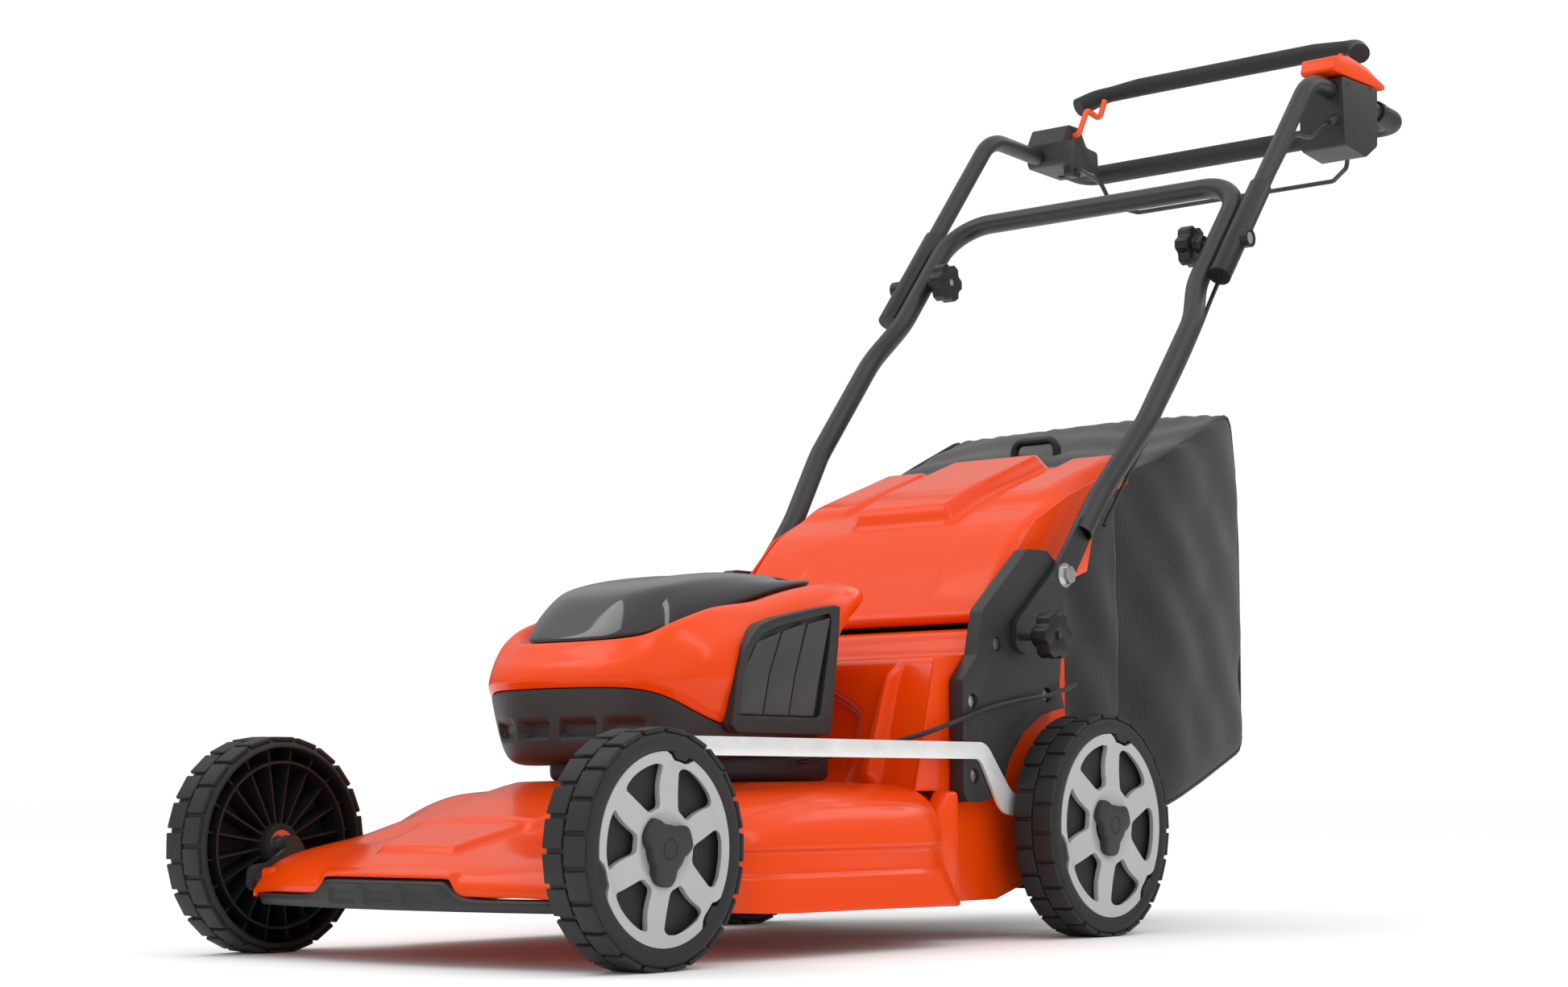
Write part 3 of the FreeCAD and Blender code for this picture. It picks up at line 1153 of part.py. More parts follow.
deckCable = [(plateOut + 4, 8.0, 262.0), (plateOut + 1, -30.0, 250.0), (bracketOut + 5, -90.0, 243.0),
             (bracketOut + 5, -150.0, 233.0), (bracketOut + 4, -196.0, 220.0),
             (bracketOut - 16, -240.0, 204.0),
             (160.0, -275.0, 193.0), (128.0, -302.0, 184.0), (104.0, -322.0, 178.0)]


def cable(label, points, radii):
    item = sweep(label, path(label, points, radii), cableRadius)
    return keep(shift(item))


def roomyRadii(points):
    """Each arc as large as its two runs allow: 0.45 of the shorter run over the half turn's tangent."""
    radii = []
    for index in range(1, len(points) - 1):
        here = Vector(*points[index])
        before = Vector(*points[index - 1]) - here
        after = Vector(*points[index + 1]) - here
        halfTurn = (math.pi - before.getAngle(after)) / 2
        radii.append(0.45 * min(before.Length, after.Length) / math.tan(halfTurn))
    print("cable arcs", [round(radius) for radius in radii])
    return radii


cable("upper_cable", upperCable, roomyRadii(upperCable))
cable("lower_cable", lowerCable, roomyRadii(lowerCable))
cable("deck_cable", deckCable, roomyRadii(deckCable))

# ---------------------------------------------------------------- check and write
doc.recompute()
problems = [f"{item.Label}: {item.State}" for item in doc.Objects
            if "Invalid" in item.State or "Error" in item.State]
for item in nodes:
    if item.Shape.isNull() or not item.Shape.isValid() or item.Shape.Volume <= 0:
        problems.append(f"{item.Label}: no sound shape")
if problems:
    raise RuntimeError("\n".join(problems))
os.makedirs("parts", exist_ok=True)
for item in nodes:
    item.Shape.exportStep(f"parts/{item.Label}.step")
    box = item.Shape.optimalBoundingBox()
    print(f"{item.Label:22s} solids {len(item.Shape.Solids)} volume {item.Shape.Volume / 1000:9.1f} cm3 "
          f"x {box.XMin:7.1f} {box.XMax:7.1f} y {box.YMin:7.1f} {box.YMax:7.1f} "
          f"z {box.ZMin:7.1f} {box.ZMax:7.1f}")
print(len(nodes), "nodes")
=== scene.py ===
import json
import math

import bmesh
import bpy
import numpy as np
from mathutils import Matrix, Vector

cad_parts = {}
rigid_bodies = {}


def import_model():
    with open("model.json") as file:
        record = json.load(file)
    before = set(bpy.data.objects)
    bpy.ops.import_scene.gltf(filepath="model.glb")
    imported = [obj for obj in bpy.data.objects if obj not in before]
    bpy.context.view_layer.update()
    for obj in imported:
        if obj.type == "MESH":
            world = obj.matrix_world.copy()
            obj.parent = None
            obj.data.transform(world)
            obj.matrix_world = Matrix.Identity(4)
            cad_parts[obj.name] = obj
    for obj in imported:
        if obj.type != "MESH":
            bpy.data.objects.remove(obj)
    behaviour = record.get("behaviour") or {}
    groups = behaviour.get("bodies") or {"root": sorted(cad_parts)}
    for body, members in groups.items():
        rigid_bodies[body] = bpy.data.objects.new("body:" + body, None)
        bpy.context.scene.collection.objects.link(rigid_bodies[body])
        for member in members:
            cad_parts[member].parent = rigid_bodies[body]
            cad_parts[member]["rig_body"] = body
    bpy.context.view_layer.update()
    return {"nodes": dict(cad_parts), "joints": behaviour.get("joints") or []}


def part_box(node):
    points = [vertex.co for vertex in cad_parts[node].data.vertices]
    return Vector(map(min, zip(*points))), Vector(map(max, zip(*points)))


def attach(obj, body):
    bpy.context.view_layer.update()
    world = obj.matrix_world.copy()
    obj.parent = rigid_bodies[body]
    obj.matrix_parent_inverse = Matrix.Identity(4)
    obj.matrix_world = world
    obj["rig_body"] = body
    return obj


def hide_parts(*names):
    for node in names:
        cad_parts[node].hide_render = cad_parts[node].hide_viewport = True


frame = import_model()
nodes = frame["nodes"]
joints = {joint["name"]: joint for joint in frame["joints"]}

# Shapes are worked out in millimetres from the rear axle line, and moved into the frame by at().
axleLine = joints["rear_left_spin"]["pos_m"][1] * 1000
rearHub = (0.0, joints["rear_left_spin"]["pos_m"][2] * 1000)
frontHub = (joints["front_left_spin"]["pos_m"][1] * 1000 - axleLine,
            joints["front_left_spin"]["pos_m"][2] * 1000)


def at(x, y, z):
    return Vector((x, y + axleLine, z)) / 1000


def pivot(name):
    # A joint's place across the machine, as (y, z) from the rear axle line.
    place = joints[name]["pos_m"]
    return place[1] * 1000 - axleLine, place[2] * 1000


def addNode(tree, kind, sockets=None, **settings):
    made = tree.nodes.new(kind)
    for name, value in settings.items():
        setattr(made, name, value)
    for socket, value in (sockets or {}).items():
        made.inputs[socket].default_value = value
    return made


def link(tree, source, output, target, socket):
    tree.links.new(source.outputs[output], target.inputs[socket])


def boxOf(node):
    # A CAD node's box, as two corners in millimetres from the rear axle line.
    low, high = (corner * 1000 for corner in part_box(node))
    low.y -= axleLine
    high.y -= axleLine
    return low, high


view = {"place": (1773.2, -2401.8, 145.9), "yaw": 0.6803, "pitch": 0.1119, "roll": -0.0038, "lens": 61.78}


def makeCamera():
    yaw, pitch, roll = view["yaw"], view["pitch"], view["roll"]
    ahead = Vector((-math.sin(yaw) * math.cos(pitch), math.cos(yaw) * math.cos(pitch), math.sin(pitch)))
    right = Vector((math.cos(yaw), math.sin(yaw), 0))
    up = right.cross(ahead)
    turnedRight = right * math.cos(roll) + up * math.sin(roll)
    turnedUp = up * math.cos(roll) - right * math.sin(roll)
    camera = bpy.data.objects.new("camera", bpy.data.cameras.new("camera"))
    axes = Matrix((turnedRight, turnedUp, -ahead)).transposed()
    camera.matrix_world = Matrix.Translation(at(*view["place"])) @ axes.to_4x4()
    camera.data.lens = view["lens"]
    camera.data.sensor_width = 36
    camera.data.clip_end = 50
    bpy.context.scene.collection.objects.link(camera)
    bpy.context.scene.camera = camera


studio = {"sky": 1.04, "mirrorLow": 0.12, "mirrorHigh": 0.9, "key": 22, "fill": 5, "rim": 14, "strip": 14}


def areaLight(name, place, target, width, height, power):
    lamp = bpy.data.lights.new(name, "AREA")
    lamp.shape = "RECTANGLE"
    lamp.size = width
    lamp.size_y = height
    lamp.energy = power
    light = bpy.data.objects.new(name, lamp)
    light.location = place
    light.rotation_euler = (Vector(target) - Vector(place)).to_track_quat("-Z", "Y").to_euler()
    bpy.context.scene.collection.objects.link(light)


def makeStudio():
    world = bpy.data.worlds.new("studio")
    world.use_nodes = True
    background = world.node_tree.nodes["Background"]
    background.inputs["Color"].default_value = (1.0, 1.0, 1.0, 1)
    tree = world.node_tree
    rays = addNode(tree, "ShaderNodeLightPath")
    place = addNode(tree, "ShaderNodeTexCoord")
    parts = addNode(tree, "ShaderNodeSeparateXYZ")
    link(tree, place, "Generated", parts, "Vector")
    ceiling = addNode(tree, "ShaderNodeMapRange", {"From Min": 0.05, "From Max": 0.75,
                                                   "To Min": studio["mirrorLow"],
                                                   "To Max": studio["mirrorHigh"]})
    link(tree, parts, "Z", ceiling, "Value")
    chosen = addNode(tree, "ShaderNodeMix", {"A": studio["sky"]})
    link(tree, rays, "Is Glossy Ray", chosen, "Factor")
    link(tree, ceiling, "Result", chosen, "B")
    link(tree, chosen, "Result", background, "Strength")
    bpy.context.scene.world = world
    bpy.context.scene.view_settings.view_transform = "Standard"
    areaLight("key light", (-1.6, -1.8, 3.2), (0, -0.1, 0.3), 2.4, 1.6, studio["key"])
    areaLight("fill light", (3.4, -2.2, 1.8), (0, 0, 0.3), 1.6, 2.4, studio["fill"])
    areaLight("rim light", (0.4, 3.2, 2.6), (0, 0, 0.4), 3.0, 1.2, studio["rim"])
    areaLight("strip light", (2.6, 0.4, 3.0), (0, -0.2, 0.2), 0.5, 3.0, studio["strip"])
    floorMesh = bpy.data.meshes.new("floor")
    reach = 60.0
    corners = [(-reach, -reach, 0), (reach, -reach, 0), (reach, reach, 0), (-reach, reach, 0)]
    floorMesh.from_pydata(corners, [], [(0, 1, 2, 3)])
    floor = bpy.data.objects.new("floor", floorMesh)
    bpy.context.scene.collection.objects.link(floor)
    floor.data.materials.append(plain("studio floor", (0.97, 0.97, 0.97), 0.9))


def plain(name, colour, roughness):
    material = bpy.data.materials.new(name)
    material.use_nodes = True
    shader = material.node_tree.nodes["Principled BSDF"]
    shader.inputs["Base Color"].default_value = (*colour, 1)
    shader.inputs["Roughness"].default_value = roughness
    return material


def finish(name, colour, roughness, shade=0.12, mottle=14.0, grain=0.0, grainScale=900.0, spread=0.06,
           **sockets):
    # Colour that varies a little, roughness that varies with it, and a fine grain in the normal.
    material = plain(name, colour, roughness)
    tree = material.node_tree
    shader = tree.nodes["Principled BSDF"]
    for socket, value in sockets.items():
        shader.inputs[socket.replace("_", " ")].default_value = value
    place = addNode(tree, "ShaderNodeTexCoord")
    cloud = addNode(tree, "ShaderNodeTexNoise", {"Scale": mottle, "Detail": 5})
    link(tree, place, "Object", cloud, "Vector")
    tint = addNode(tree, "ShaderNodeMix", {"A": (*[channel * (1 - shade) for channel in colour], 1),
                                           "B": (*[min(1, channel * (1 + shade)) for channel in colour], 1)},
                   data_type="RGBA")
    link(tree, cloud, "Fac", tint, "Factor")
    link(tree, tint, "Result", shader, "Base Color")
    worn = addNode(tree, "ShaderNodeMapRange", {"From Min": 0.3, "From Max": 0.7,
                                                "To Min": max(0.02, roughness - spread),
                                                "To Max": roughness + spread})
    link(tree, cloud, "Fac", worn, "Value")
    link(tree, worn, "Result", shader, "Roughness")
    if grain:
        speck = addNode(tree, "ShaderNodeTexNoise", {"Scale": grainScale, "Detail": 2})
        link(tree, place, "Object", speck, "Vector")
        bump = addNode(tree, "ShaderNodeBump", {"Strength": grain, "Distance": 0.0004})
        link(tree, speck, "Fac", bump, "Height")
        link(tree, bump, "Normal", shader, "Normal")
    return material


def brushedMetal(name, colour, roughness, stretch):
    # Metal with fine streaks along one axis.
    material = finish(name, colour, roughness, shade=0.1, mottle=30.0, Metallic=1.0)
    tree = material.node_tree
    shader = tree.nodes["Principled BSDF"]
    place = addNode(tree, "ShaderNodeTexCoord")
    mapping = addNode(tree, "ShaderNodeMapping", {"Scale": stretch})
    streak = addNode(tree, "ShaderNodeTexNoise", {"Scale": 40.0, "Detail": 4})
    bump = addNode(tree, "ShaderNodeBump", {"Strength": 0.25, "Distance": 0.0003})
    link(tree, place, "Object", mapping, "Vector")
    link(tree, mapping, "Vector", streak, "Vector")
    link(tree, streak, "Fac", bump, "Height")
    link(tree, bump, "Normal", shader, "Normal")
    return material


def meshCloth(name, colour, pitch):
    # Open woven mesh: crossing threads with dark holes between them, laid out by the piece's UV map in
    # metres.
    material = finish(name, colour, 0.85, shade=0.18, mottle=9.0)
    tree = material.node_tree
    shader = tree.nodes["Principled BSDF"]
    shader.inputs["Sheen Weight"].default_value = 0.25
    shader.inputs["Specular IOR Level"].default_value = 0.25
    place = addNode(tree, "ShaderNodeUVMap")
    parts = addNode(tree, "ShaderNodeSeparateXYZ")
    link(tree, place, "UV", parts, "Vector")
    waves = []
    for axis in ("X", "Y"):
        scaled = addNode(tree, "ShaderNodeMath", {1: math.pi / pitch}, operation="MULTIPLY")
        wave = addNode(tree, "ShaderNodeMath", operation="SINE")
        squared = addNode(tree, "ShaderNodeMath", {1: 2}, operation="POWER")
        link(tree, parts, axis, scaled, 0)
        link(tree, scaled, 0, wave, 0)
        link(tree, wave, 0, squared, 0)
        waves.append(squared)
    thread = addNode(tree, "ShaderNodeMath", operation="MAXIMUM")
    link(tree, waves[0], 0, thread, 0)
    link(tree, waves[1], 0, thread, 1)
    hole = addNode(tree, "ShaderNodeMapRange", {"From Min": 0.25, "From Max": 0.75, "To Min": 0.3,
                                                "To Max": 1.25})
    link(tree, thread, 0, hole, "Value")
    dark = addNode(tree, "ShaderNodeMix", {"Factor": 1.0}, data_type="RGBA", blend_type="MULTIPLY")
    base = shader.inputs["Base Color"].links[0].from_socket
    tree.links.new(base, dark.inputs["A"])
    link(tree, hole, "Result", dark, "B")
    link(tree, dark, "Result", shader, "Base Color")
    bump = addNode(tree, "ShaderNodeBump", {"Strength": 0.6, "Distance": 0.0006})
    link(tree, thread, 0, bump, "Height")
    link(tree, bump, "Normal", shader, "Normal")
    return material


def makeFinishes():
    finishes["orange"] = finish("orange moulding", (0.8, 0.058, 0.001), 0.25, shade=0.04, mottle=6.0,
                                grain=0.04,
                                grainScale=260.0, spread=0.03, Coat_Weight=0.15, Coat_Roughness=0.05,
                                Specular_IOR_Level=0.2)
    finishes["orangeRod"] = finish("orange powder coat", (0.8, 0.08, 0.004), 0.36, shade=0.06, grain=0.2,
                                   grainScale=700.0)
    finishes["dark"] = finish("dark grained moulding", (0.021, 0.0215, 0.0225), 0.47, shade=0.14, grain=0.5,
                              grainScale=1400.0)
    finishes["gloss"] = finish("polished black moulding", (0.006, 0.006, 0.007), 0.1, shade=0.2, mottle=8.0,
                               spread=0.03, Coat_Weight=0.6, Coat_Roughness=0.04)
    finishes["slat"] = finish("dark slat moulding", (0.045, 0.0455, 0.047), 0.42, shade=0.1, grain=0.4,
                              grainScale=1400.0)
    finishes["knob"] = finish("black knob moulding", (0.007, 0.007, 0.0075), 0.4, shade=0.15, grain=0.35,
                              grainScale=1100.0)
    finishes["disc"] = finish("grey wheel disc", (0.42, 0.423, 0.428), 0.42, shade=0.05, grain=0.3,
                              grainScale=900.0)
    finishes["tyre"] = finish("tyre rubber", (0.014, 0.0142, 0.015), 0.66, shade=0.2, mottle=30.0, grain=0.6,
                              grainScale=600.0)
    finishes["inner"] = finish("black wheel web", (0.012, 0.012, 0.013), 0.45, shade=0.2, grain=0.3)
    finishes["tube"] = finish("charcoal powder coat", (0.022, 0.0225, 0.0235), 0.36, shade=0.1, mottle=20.0,
                              grain=0.45,
                              grainScale=1600.0)
    finishes["foam"] = finish("grip foam", (0.012, 0.012, 0.013), 0.6, shade=0.15, grain=0.7, grainScale=900.0)
    finishes["zinc"] = brushedMetal("bright zinc", (0.78, 0.78, 0.76), 0.3, (1, 0.15, 1))
    finishes["bar"] = brushedMetal("drawn flat bar", (0.93, 0.93, 0.92), 0.42, (1, 0.03, 1.6))
    finishes["bar"].node_tree.nodes["Principled BSDF"].inputs["Metallic"].default_value = 0.55
    finishes["steel"] = finish("black painted steel", (0.03, 0.03, 0.031), 0.45, grain=0.3)
    finishes["alloy"] = brushedMetal("cast alloy", (0.5, 0.5, 0.51), 0.42, (1, 1, 1))
    finishes["cable"] = finish("cable jacket", (0.014, 0.014, 0.015), 0.42, grain=0.25, grainScale=1000.0)
    finishes["cloth"] = meshCloth("bag mesh", (0.021, 0.0213, 0.022), 0.0032)
    finishes["topCloth"] = finish("bag top cloth", (0.018, 0.0183, 0.0192), 0.8, shade=0.2, mottle=25.0,
                                  grain=0.9,
                                  grainScale=700.0, Sheen_Weight=0.2)


finishes = {}


def piece(name, points, faces, body, material, replaced=(), smooth=True):
    mesh = bpy.data.meshes.new(name)
    mesh.from_pydata([at(*point) for point in points], [], faces)
    return settle(name, mesh, body, material, replaced, smooth)


def settle(name, mesh, body, material, replaced=(), smooth=True):
    # Cleans a mesh, turns its faces outwards, and hangs the finished piece on a body.
    build = bmesh.new()
    build.from_mesh(mesh)
    bmesh.ops.remove_doubles(build, verts=build.verts, dist=1e-6)
    bmesh.ops.recalc_face_normals(build, faces=build.faces)
    build.to_mesh(mesh)
    build.free()
    made = bpy.data.objects.new(name, mesh)
    bpy.context.scene.collection.objects.link(made)
    for polygon in mesh.polygons:
        polygon.use_smooth = smooth
    mesh.materials.clear()
    mesh.materials.append(finishes[material])
    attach(made, body)
    if replaced:
        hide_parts(*replaced)
    return made


def baked(made):
    # Applies every modifier by taking the evaluated mesh.
    graph = bpy.context.evaluated_depsgraph_get()
    graph.update()
    made.data = bpy.data.meshes.new_from_object(made.evaluated_get(graph))
    made.modifiers.clear()
    return made


def subdivide(made, levels):
    modifier = made.modifiers.new("smooth", "SUBSURF")
    modifier.levels = levels
    modifier.render_levels = levels
    return made


def bevel(made, width, segments=3, angle=30):
    modifier = made.modifiers.new("edges", "BEVEL")
    modifier.width = width / 1000
    modifier.segments = segments
    modifier.limit_method = "ANGLE"
    modifier.angle_limit = math.radians(angle)
    modifier.harden_normals = False
    return made


def thicken(made, thickness, offset=-1.0):
    modifier = made.modifiers.new("wall", "SOLIDIFY")
    modifier.thickness = thickness / 1000
    modifier.offset = offset
    return made


def byAngle(made, degrees=35):
    # Smooth shading, with edges sharper than the angle kept crisp.
    made.data.shade_smooth()
    made.data.set_sharp_from_angle(angle=math.radians(degrees))
    return made


def sheetFaces(rows, columns, closed=False):
    faces = []
    across = columns if closed else columns - 1
    for row in range(rows - 1):
        for column in range(across):
            following = (column + 1) % columns
            faces.append((row * columns + column, row * columns + following,
                          (row + 1) * columns + following, (row + 1) * columns + column))
    return faces


def lofted(rows, closed=False, caps=False):
    points = [point for row in rows for point in row]
    columns = len(rows[0])
    faces = sheetFaces(len(rows), columns, closed)
    if caps:
        faces.append(tuple(range(columns)))
        faces.append(tuple(range((len(rows) - 1) * columns, len(rows) * columns)))
    return points, faces


def crease(mesh, chosen, amount=1.0):
    # Creases the edges whose two ends both satisfy chosen(point in millimetres).
    layer = mesh.attributes.new("crease_edge", "FLOAT", "EDGE")
    values = []
    for edge in mesh.edges:
        ends = [mesh.vertices[number].co * 1000 - Vector((0, axleLine, 0)) for number in edge.vertices]
        values.append(amount if chosen(*ends) else 0.0)
    layer.data.foreach_set("value", values)


def coordinates(mesh):
    spots = np.empty(len(mesh.vertices) * 3)
    mesh.vertices.foreach_get("co", spots)
    spots = spots.reshape(-1, 3) * 1000
    spots[:, 1] -= axleLine
    return spots


def setCoordinates(mesh, spots):
    moved = spots.copy()
    moved[:, 1] += axleLine
    mesh.vertices.foreach_set("co", (moved / 1000).ravel())
    mesh.update()


def step(value, low, high):
    # 0 below low, 1 above high, smooth between.
    share = np.clip((value - low) / (high - low), 0, 1)
    return share * share * (3 - 2 * share)


def mirrored(half):
    # A full row from its left half, which starts on the centre line.
    return [(-x, *rest) for x, *rest in reversed(half[1:])] + [tuple(point) for point in half]


deckShape = {
    "wall": 4,
    "panelFront": -733, "panelBack": -660, "panelHalfFront": 50, "panelHalfBack": 70, "panelRise": 5,
    "plateauHalf": 76, "plateauRise": 8, "padHalf": 78, "padRise": 14,
    "grooveTop": 97, "grooveBottom": 76, "grooveDepth": 5,
    "dimpleDepth": 7,
}


def deckRows():
    # Half rows, centre to rim, each with how far the row bows back at the sides.
    nose = [
        (-773, 26, [(0, 62), (40, 62), (70, 62), (95, 61), (140, 61), (176, 60), (194, 59), (196, 58),
                    (197, 57), (197, 56)]),
        (-775, 26, [(0, 71), (40, 71), (70, 71), (95, 70), (140, 69), (178, 68), (197, 66), (200, 63),
                    (201, 59), (201, 55)]),
        (-765, 26, [(0, 83), (40, 83), (72, 83), (98, 81), (142, 82), (180, 81), (198, 78), (203, 71),
                    (204, 61), (204, 54)]),
        (-745, 24, [(0, 93), (40, 93), (75, 92), (102, 90), (145, 93), (182, 92), (200, 89), (205, 81),
                    (206, 66), (206, 53)]),
        (-712, 18, [(0, 105), (40, 105), (80, 103), (110, 99), (150, 101), (184, 99), (202, 95), (207, 86),
                    (208, 69), (208, 51)]),
        (-675, 11, [(0, 115), (40, 115), (85, 112), (118, 106), (152, 107), (186, 104), (203, 99), (208, 89),
                    (209, 71), (209, 49)]),
        (-635, 6, [(0, 127), (40, 127), (90, 124), (124, 115), (158, 114), (188, 109), (204, 103), (210, 92),
                   (210, 72), (210, 47)]),
        (-600, 3, [(0, 138), (40, 138), (98, 135), (134, 126), (164, 124), (192, 117), (207, 108), (213, 96),
                   (213, 75), (213, 45)]),
    ]
    middle = [
        (-566, 0, [(0, 146), (45, 146), (108, 144), (146, 137), (178, 128), (206, 119), (225, 110), (231, 97),
                   (231, 76), (231, 43)]),
        (-539, 0, [(0, 152), (50, 152), (118, 150), (160, 146), (194, 138), (220, 128), (236, 117), (241, 100),
                   (241, 77), (243, 42)]),
        (-500, 0, [(0, 158), (50, 158), (125, 157), (172, 154), (204, 147), (226, 136), (240, 122), (244, 101),
                   (244, 77), (247, 41)]),
        (-400, 0, [(0, 160), (50, 160), (130, 160), (176, 158), (208, 151), (229, 139), (241, 124), (245, 101),
                   (244, 77), (247, 41)]),
        (-310, 0, [(0, 160), (50, 160), (130, 160), (176, 158), (208, 151), (229, 139), (241, 124), (245, 101),
                   (244, 77), (247, 40)]),
        (-262, 0, [(0, 160), (50, 160), (130, 160), (172, 158), (203, 151), (222, 139), (233, 124), (237, 101),
                   (238, 77), (245, 40)]),
        (-236, 0, [(0, 160), (50, 160), (126, 160), (162, 158), (190, 151), (207, 139), (216, 124), (220, 101),
                   (223, 77), (240, 40)]),
        (-222, 0, [(0, 160), (50, 160), (122, 160), (154, 158), (176, 152), (190, 141), (198, 126), (202, 102),
                   (206, 78), (232, 40)]),
        (-205, 0, [(0, 160), (50, 160), (120, 160), (150, 158), (170, 152), (184, 141), (193, 126), (197, 102),
                   (200, 78), (214, 40)]),
    ]
    return nose + middle


def bowed(rows):
    return [[(x, y + bow * (x / 200) ** 2, z) for x, z in mirrored(half)] for y, bow, half in rows]


def sculptDeck(mesh):
    # Panel, plateau, groove, dimples and the raised nose pad, worked into the fine mesh.
    shape = deckShape
    spots = coordinates(mesh)
    x, y, z = np.abs(spots[:, 0]), spots[:, 1], spots[:, 2]
    onTop = step(z, 78, 92)
    along = np.clip((y - shape["panelFront"]) / (shape["panelBack"] - shape["panelFront"]), 0, 1)
    half = shape["panelHalfFront"] + (shape["panelHalfBack"] - shape["panelHalfFront"]) * along
    panel = (1 - step(x, half - 6, half)) * step(y, shape["panelFront"] - 3, shape["panelFront"] + 4)
    rise = shape["panelRise"] * panel * (1 - step(y, shape["panelBack"] - 6, shape["panelBack"]))
    plateau = (1 - step(x, shape["plateauHalf"] - 4, shape["plateauHalf"] + 10))
    rise = rise + shape["plateauRise"] * plateau * step(y, -672, -655) * (1 - step(y, -540, -470))
    inset = (1 - step(x, 30, 33)) * step(y, -722, -719) * (1 - step(y, -676, -673))
    rise = rise - 0.8 * inset * panel
    scoop = (np.exp(-((x - 135) / 34) ** 2 - ((y + 470) / 40) ** 2)
             + np.exp(-((x - 118) / 30) ** 2 - ((y + 262) / 22) ** 2))
    rise = rise - shape["dimpleDepth"] * scoop * step(z, 120, 150)
    valley = np.exp(-((x - 122) / 22) ** 2) * step(y, -700, -640) * (1 - step(y, -560, -500))
    rise = rise - 6 * valley * onTop
    spots[:, 2] += rise
    nosePad = (1 - step(x, shape["padHalf"], shape["padHalf"] + 12)) * (1 - step(y, -762, -752))
    low = np.clip((84 - z) / 22, 0, 1)
    spots[:, 2] += nosePad * shape["padRise"] * low
    band = step(z, shape["grooveBottom"] - 4, shape["grooveBottom"]) * (1 - step(z, shape["grooveTop"] - 3,
                                                                                 shape["grooveTop"] + 3))
    side = step(x, 214, 226) * step(y, -585, -560)
    spots[:, 0] -= np.sign(spots[:, 0]) * shape["grooveDepth"] * band * side
    setCoordinates(mesh, spots)


def makeDeck():
    rows = bowed(deckRows())
    points, faces = lofted(rows)
    pan = piece("deck_pan", points, faces, "chassis", "orange", replaced=("deck",))
    crease(pan.data, lambda a, b: a.z < 64 and b.z < 64 and a.y < -700, 0.9)
    subdivide(pan, 4)
    baked(pan)
    sculptDeck(pan.data)
    thicken(pan, deckShape["wall"])
    baked(pan)
    makeTower()
    makeBumper()
    makePivotBlocks()


tower = {
    "half": 189, "recessHalf": 112, "recessDepth": 12, "recessTop": 262, "ribX": 146, "ribRise": 14,
}


def makeTower():
    # The raised outlet box behind the blade chamber, open to the rear and towards the chamber.
    face = [(-243, 148), (-236, 175), (-226, 215), (-217, 250), (-211, 268), (-205, 279), (-196, 285),
            (-180, 287),
            (-162, 287), (-153, 289), (-147, 295), (-141, 304), (-134, 312), (-124, 316), (-112, 318),
            (-96, 318.5)]
    columns = [-189, -184, -178, -166, -156, -146, -136, -124, -112, -96, -72, -48, -24, 0,
               24, 48, 72, 96, 112, 124, 136, 146, 156, 166, 178, 184, 189]
    rows = [[(x, y + 5 * (abs(x) / 189) ** 6, z) for x in columns] for y, z in face]
    points, faces = lofted(rows)
    front = piece("tower_front", points, faces, "chassis", "orange")
    subdivide(front, 3)
    baked(front)
    spots = coordinates(front.data)
    x, y, z = spots[:, 0], spots[:, 1], spots[:, 2]
    arch = tower["recessTop"] - 34 * (np.abs(x) / tower["recessHalf"]) ** 2.5
    recess = (1 - step(np.abs(x), tower["recessHalf"] - 14, tower["recessHalf"])) * (1 - step(z, arch - 9,
                                                                                              arch))
    spots[:, 1] += tower["recessDepth"] * recess * step(z, 150, 175)
    width = 5 + 9 * np.clip((285 - z) / 130, 0, 1)
    rib = 1 - step(np.abs(np.abs(x) - tower["ribX"] + (285 - z) * 0.1), width * 0.25, width)
    spots[:, 1] -= tower["ribRise"] * rib * (1 - step(z, 262, 284)) * step(z, 146, 170)
    setCoordinates(front.data, spots)
    thicken(front, 3.5)
    baked(front)
    wallOutline = [(-240, 150), (-203, 284), (-150, 286), (-132, 313), (-114, 318), (33, 318), (33, 178),
                   (25, 112), (2, 98), (-28, 60), (-101, 40), (-198, 40), (-206, 150)]
    for side in (1, -1):
        plate("tower_side_" + sideName(side), wallOutline, side * 189.5, side * 186, "chassis",
              "orange", 1.2)
    roof = [(-96, 318.5), (33, 318.5), (33, 315), (-96, 315)]
    plate("tower_roof", roof, -189, 189, "chassis", "orange", 0.8)
    ramp = [(-104, 42), (33, 191.5), (33, 187.5), (-100, 40)]
    plate("tunnel_floor", ramp, -186, 186, "chassis", "orange", 0.8)
    for side in (1, -1):
        column = [(-232, 42), (-232, 128), (-214, 150), (-196, 150), (-196, 42)]
        plate("corner_post_" + sideName(side), column, side * 190, side * 212, "chassis",
              "orange", 5)
        lug = [(-120, 316), (-113, 336), (-95, 336), (-88, 316)]
        plate("hinge_lug_" + sideName(side), lug, side * 186, side * 189.7, "chassis",
              "orange", 0.8)


def sideName(side):
    return "left" if side > 0 else "right"


def plate(name, outline, low, high, body, material, rounding, replaced=(), segments=3):
    # An outline in (y, z) given a thickness along X, with its edges rounded.
    points = [(low, y, z) for y, z in outline] + [(high, y, z) for y, z in outline]
    count = len(outline)
    faces = [tuple(range(count)), tuple(range(count, 2 * count))]
    faces += [(n, (n + 1) % count, (n + 1) % count + count, n + count) for n in range(count)]
    made = piece(name, points, faces, body, material, replaced)
    if rounding:
        bevel(made, rounding, segments)
        baked(made)
    return byAngle(made)


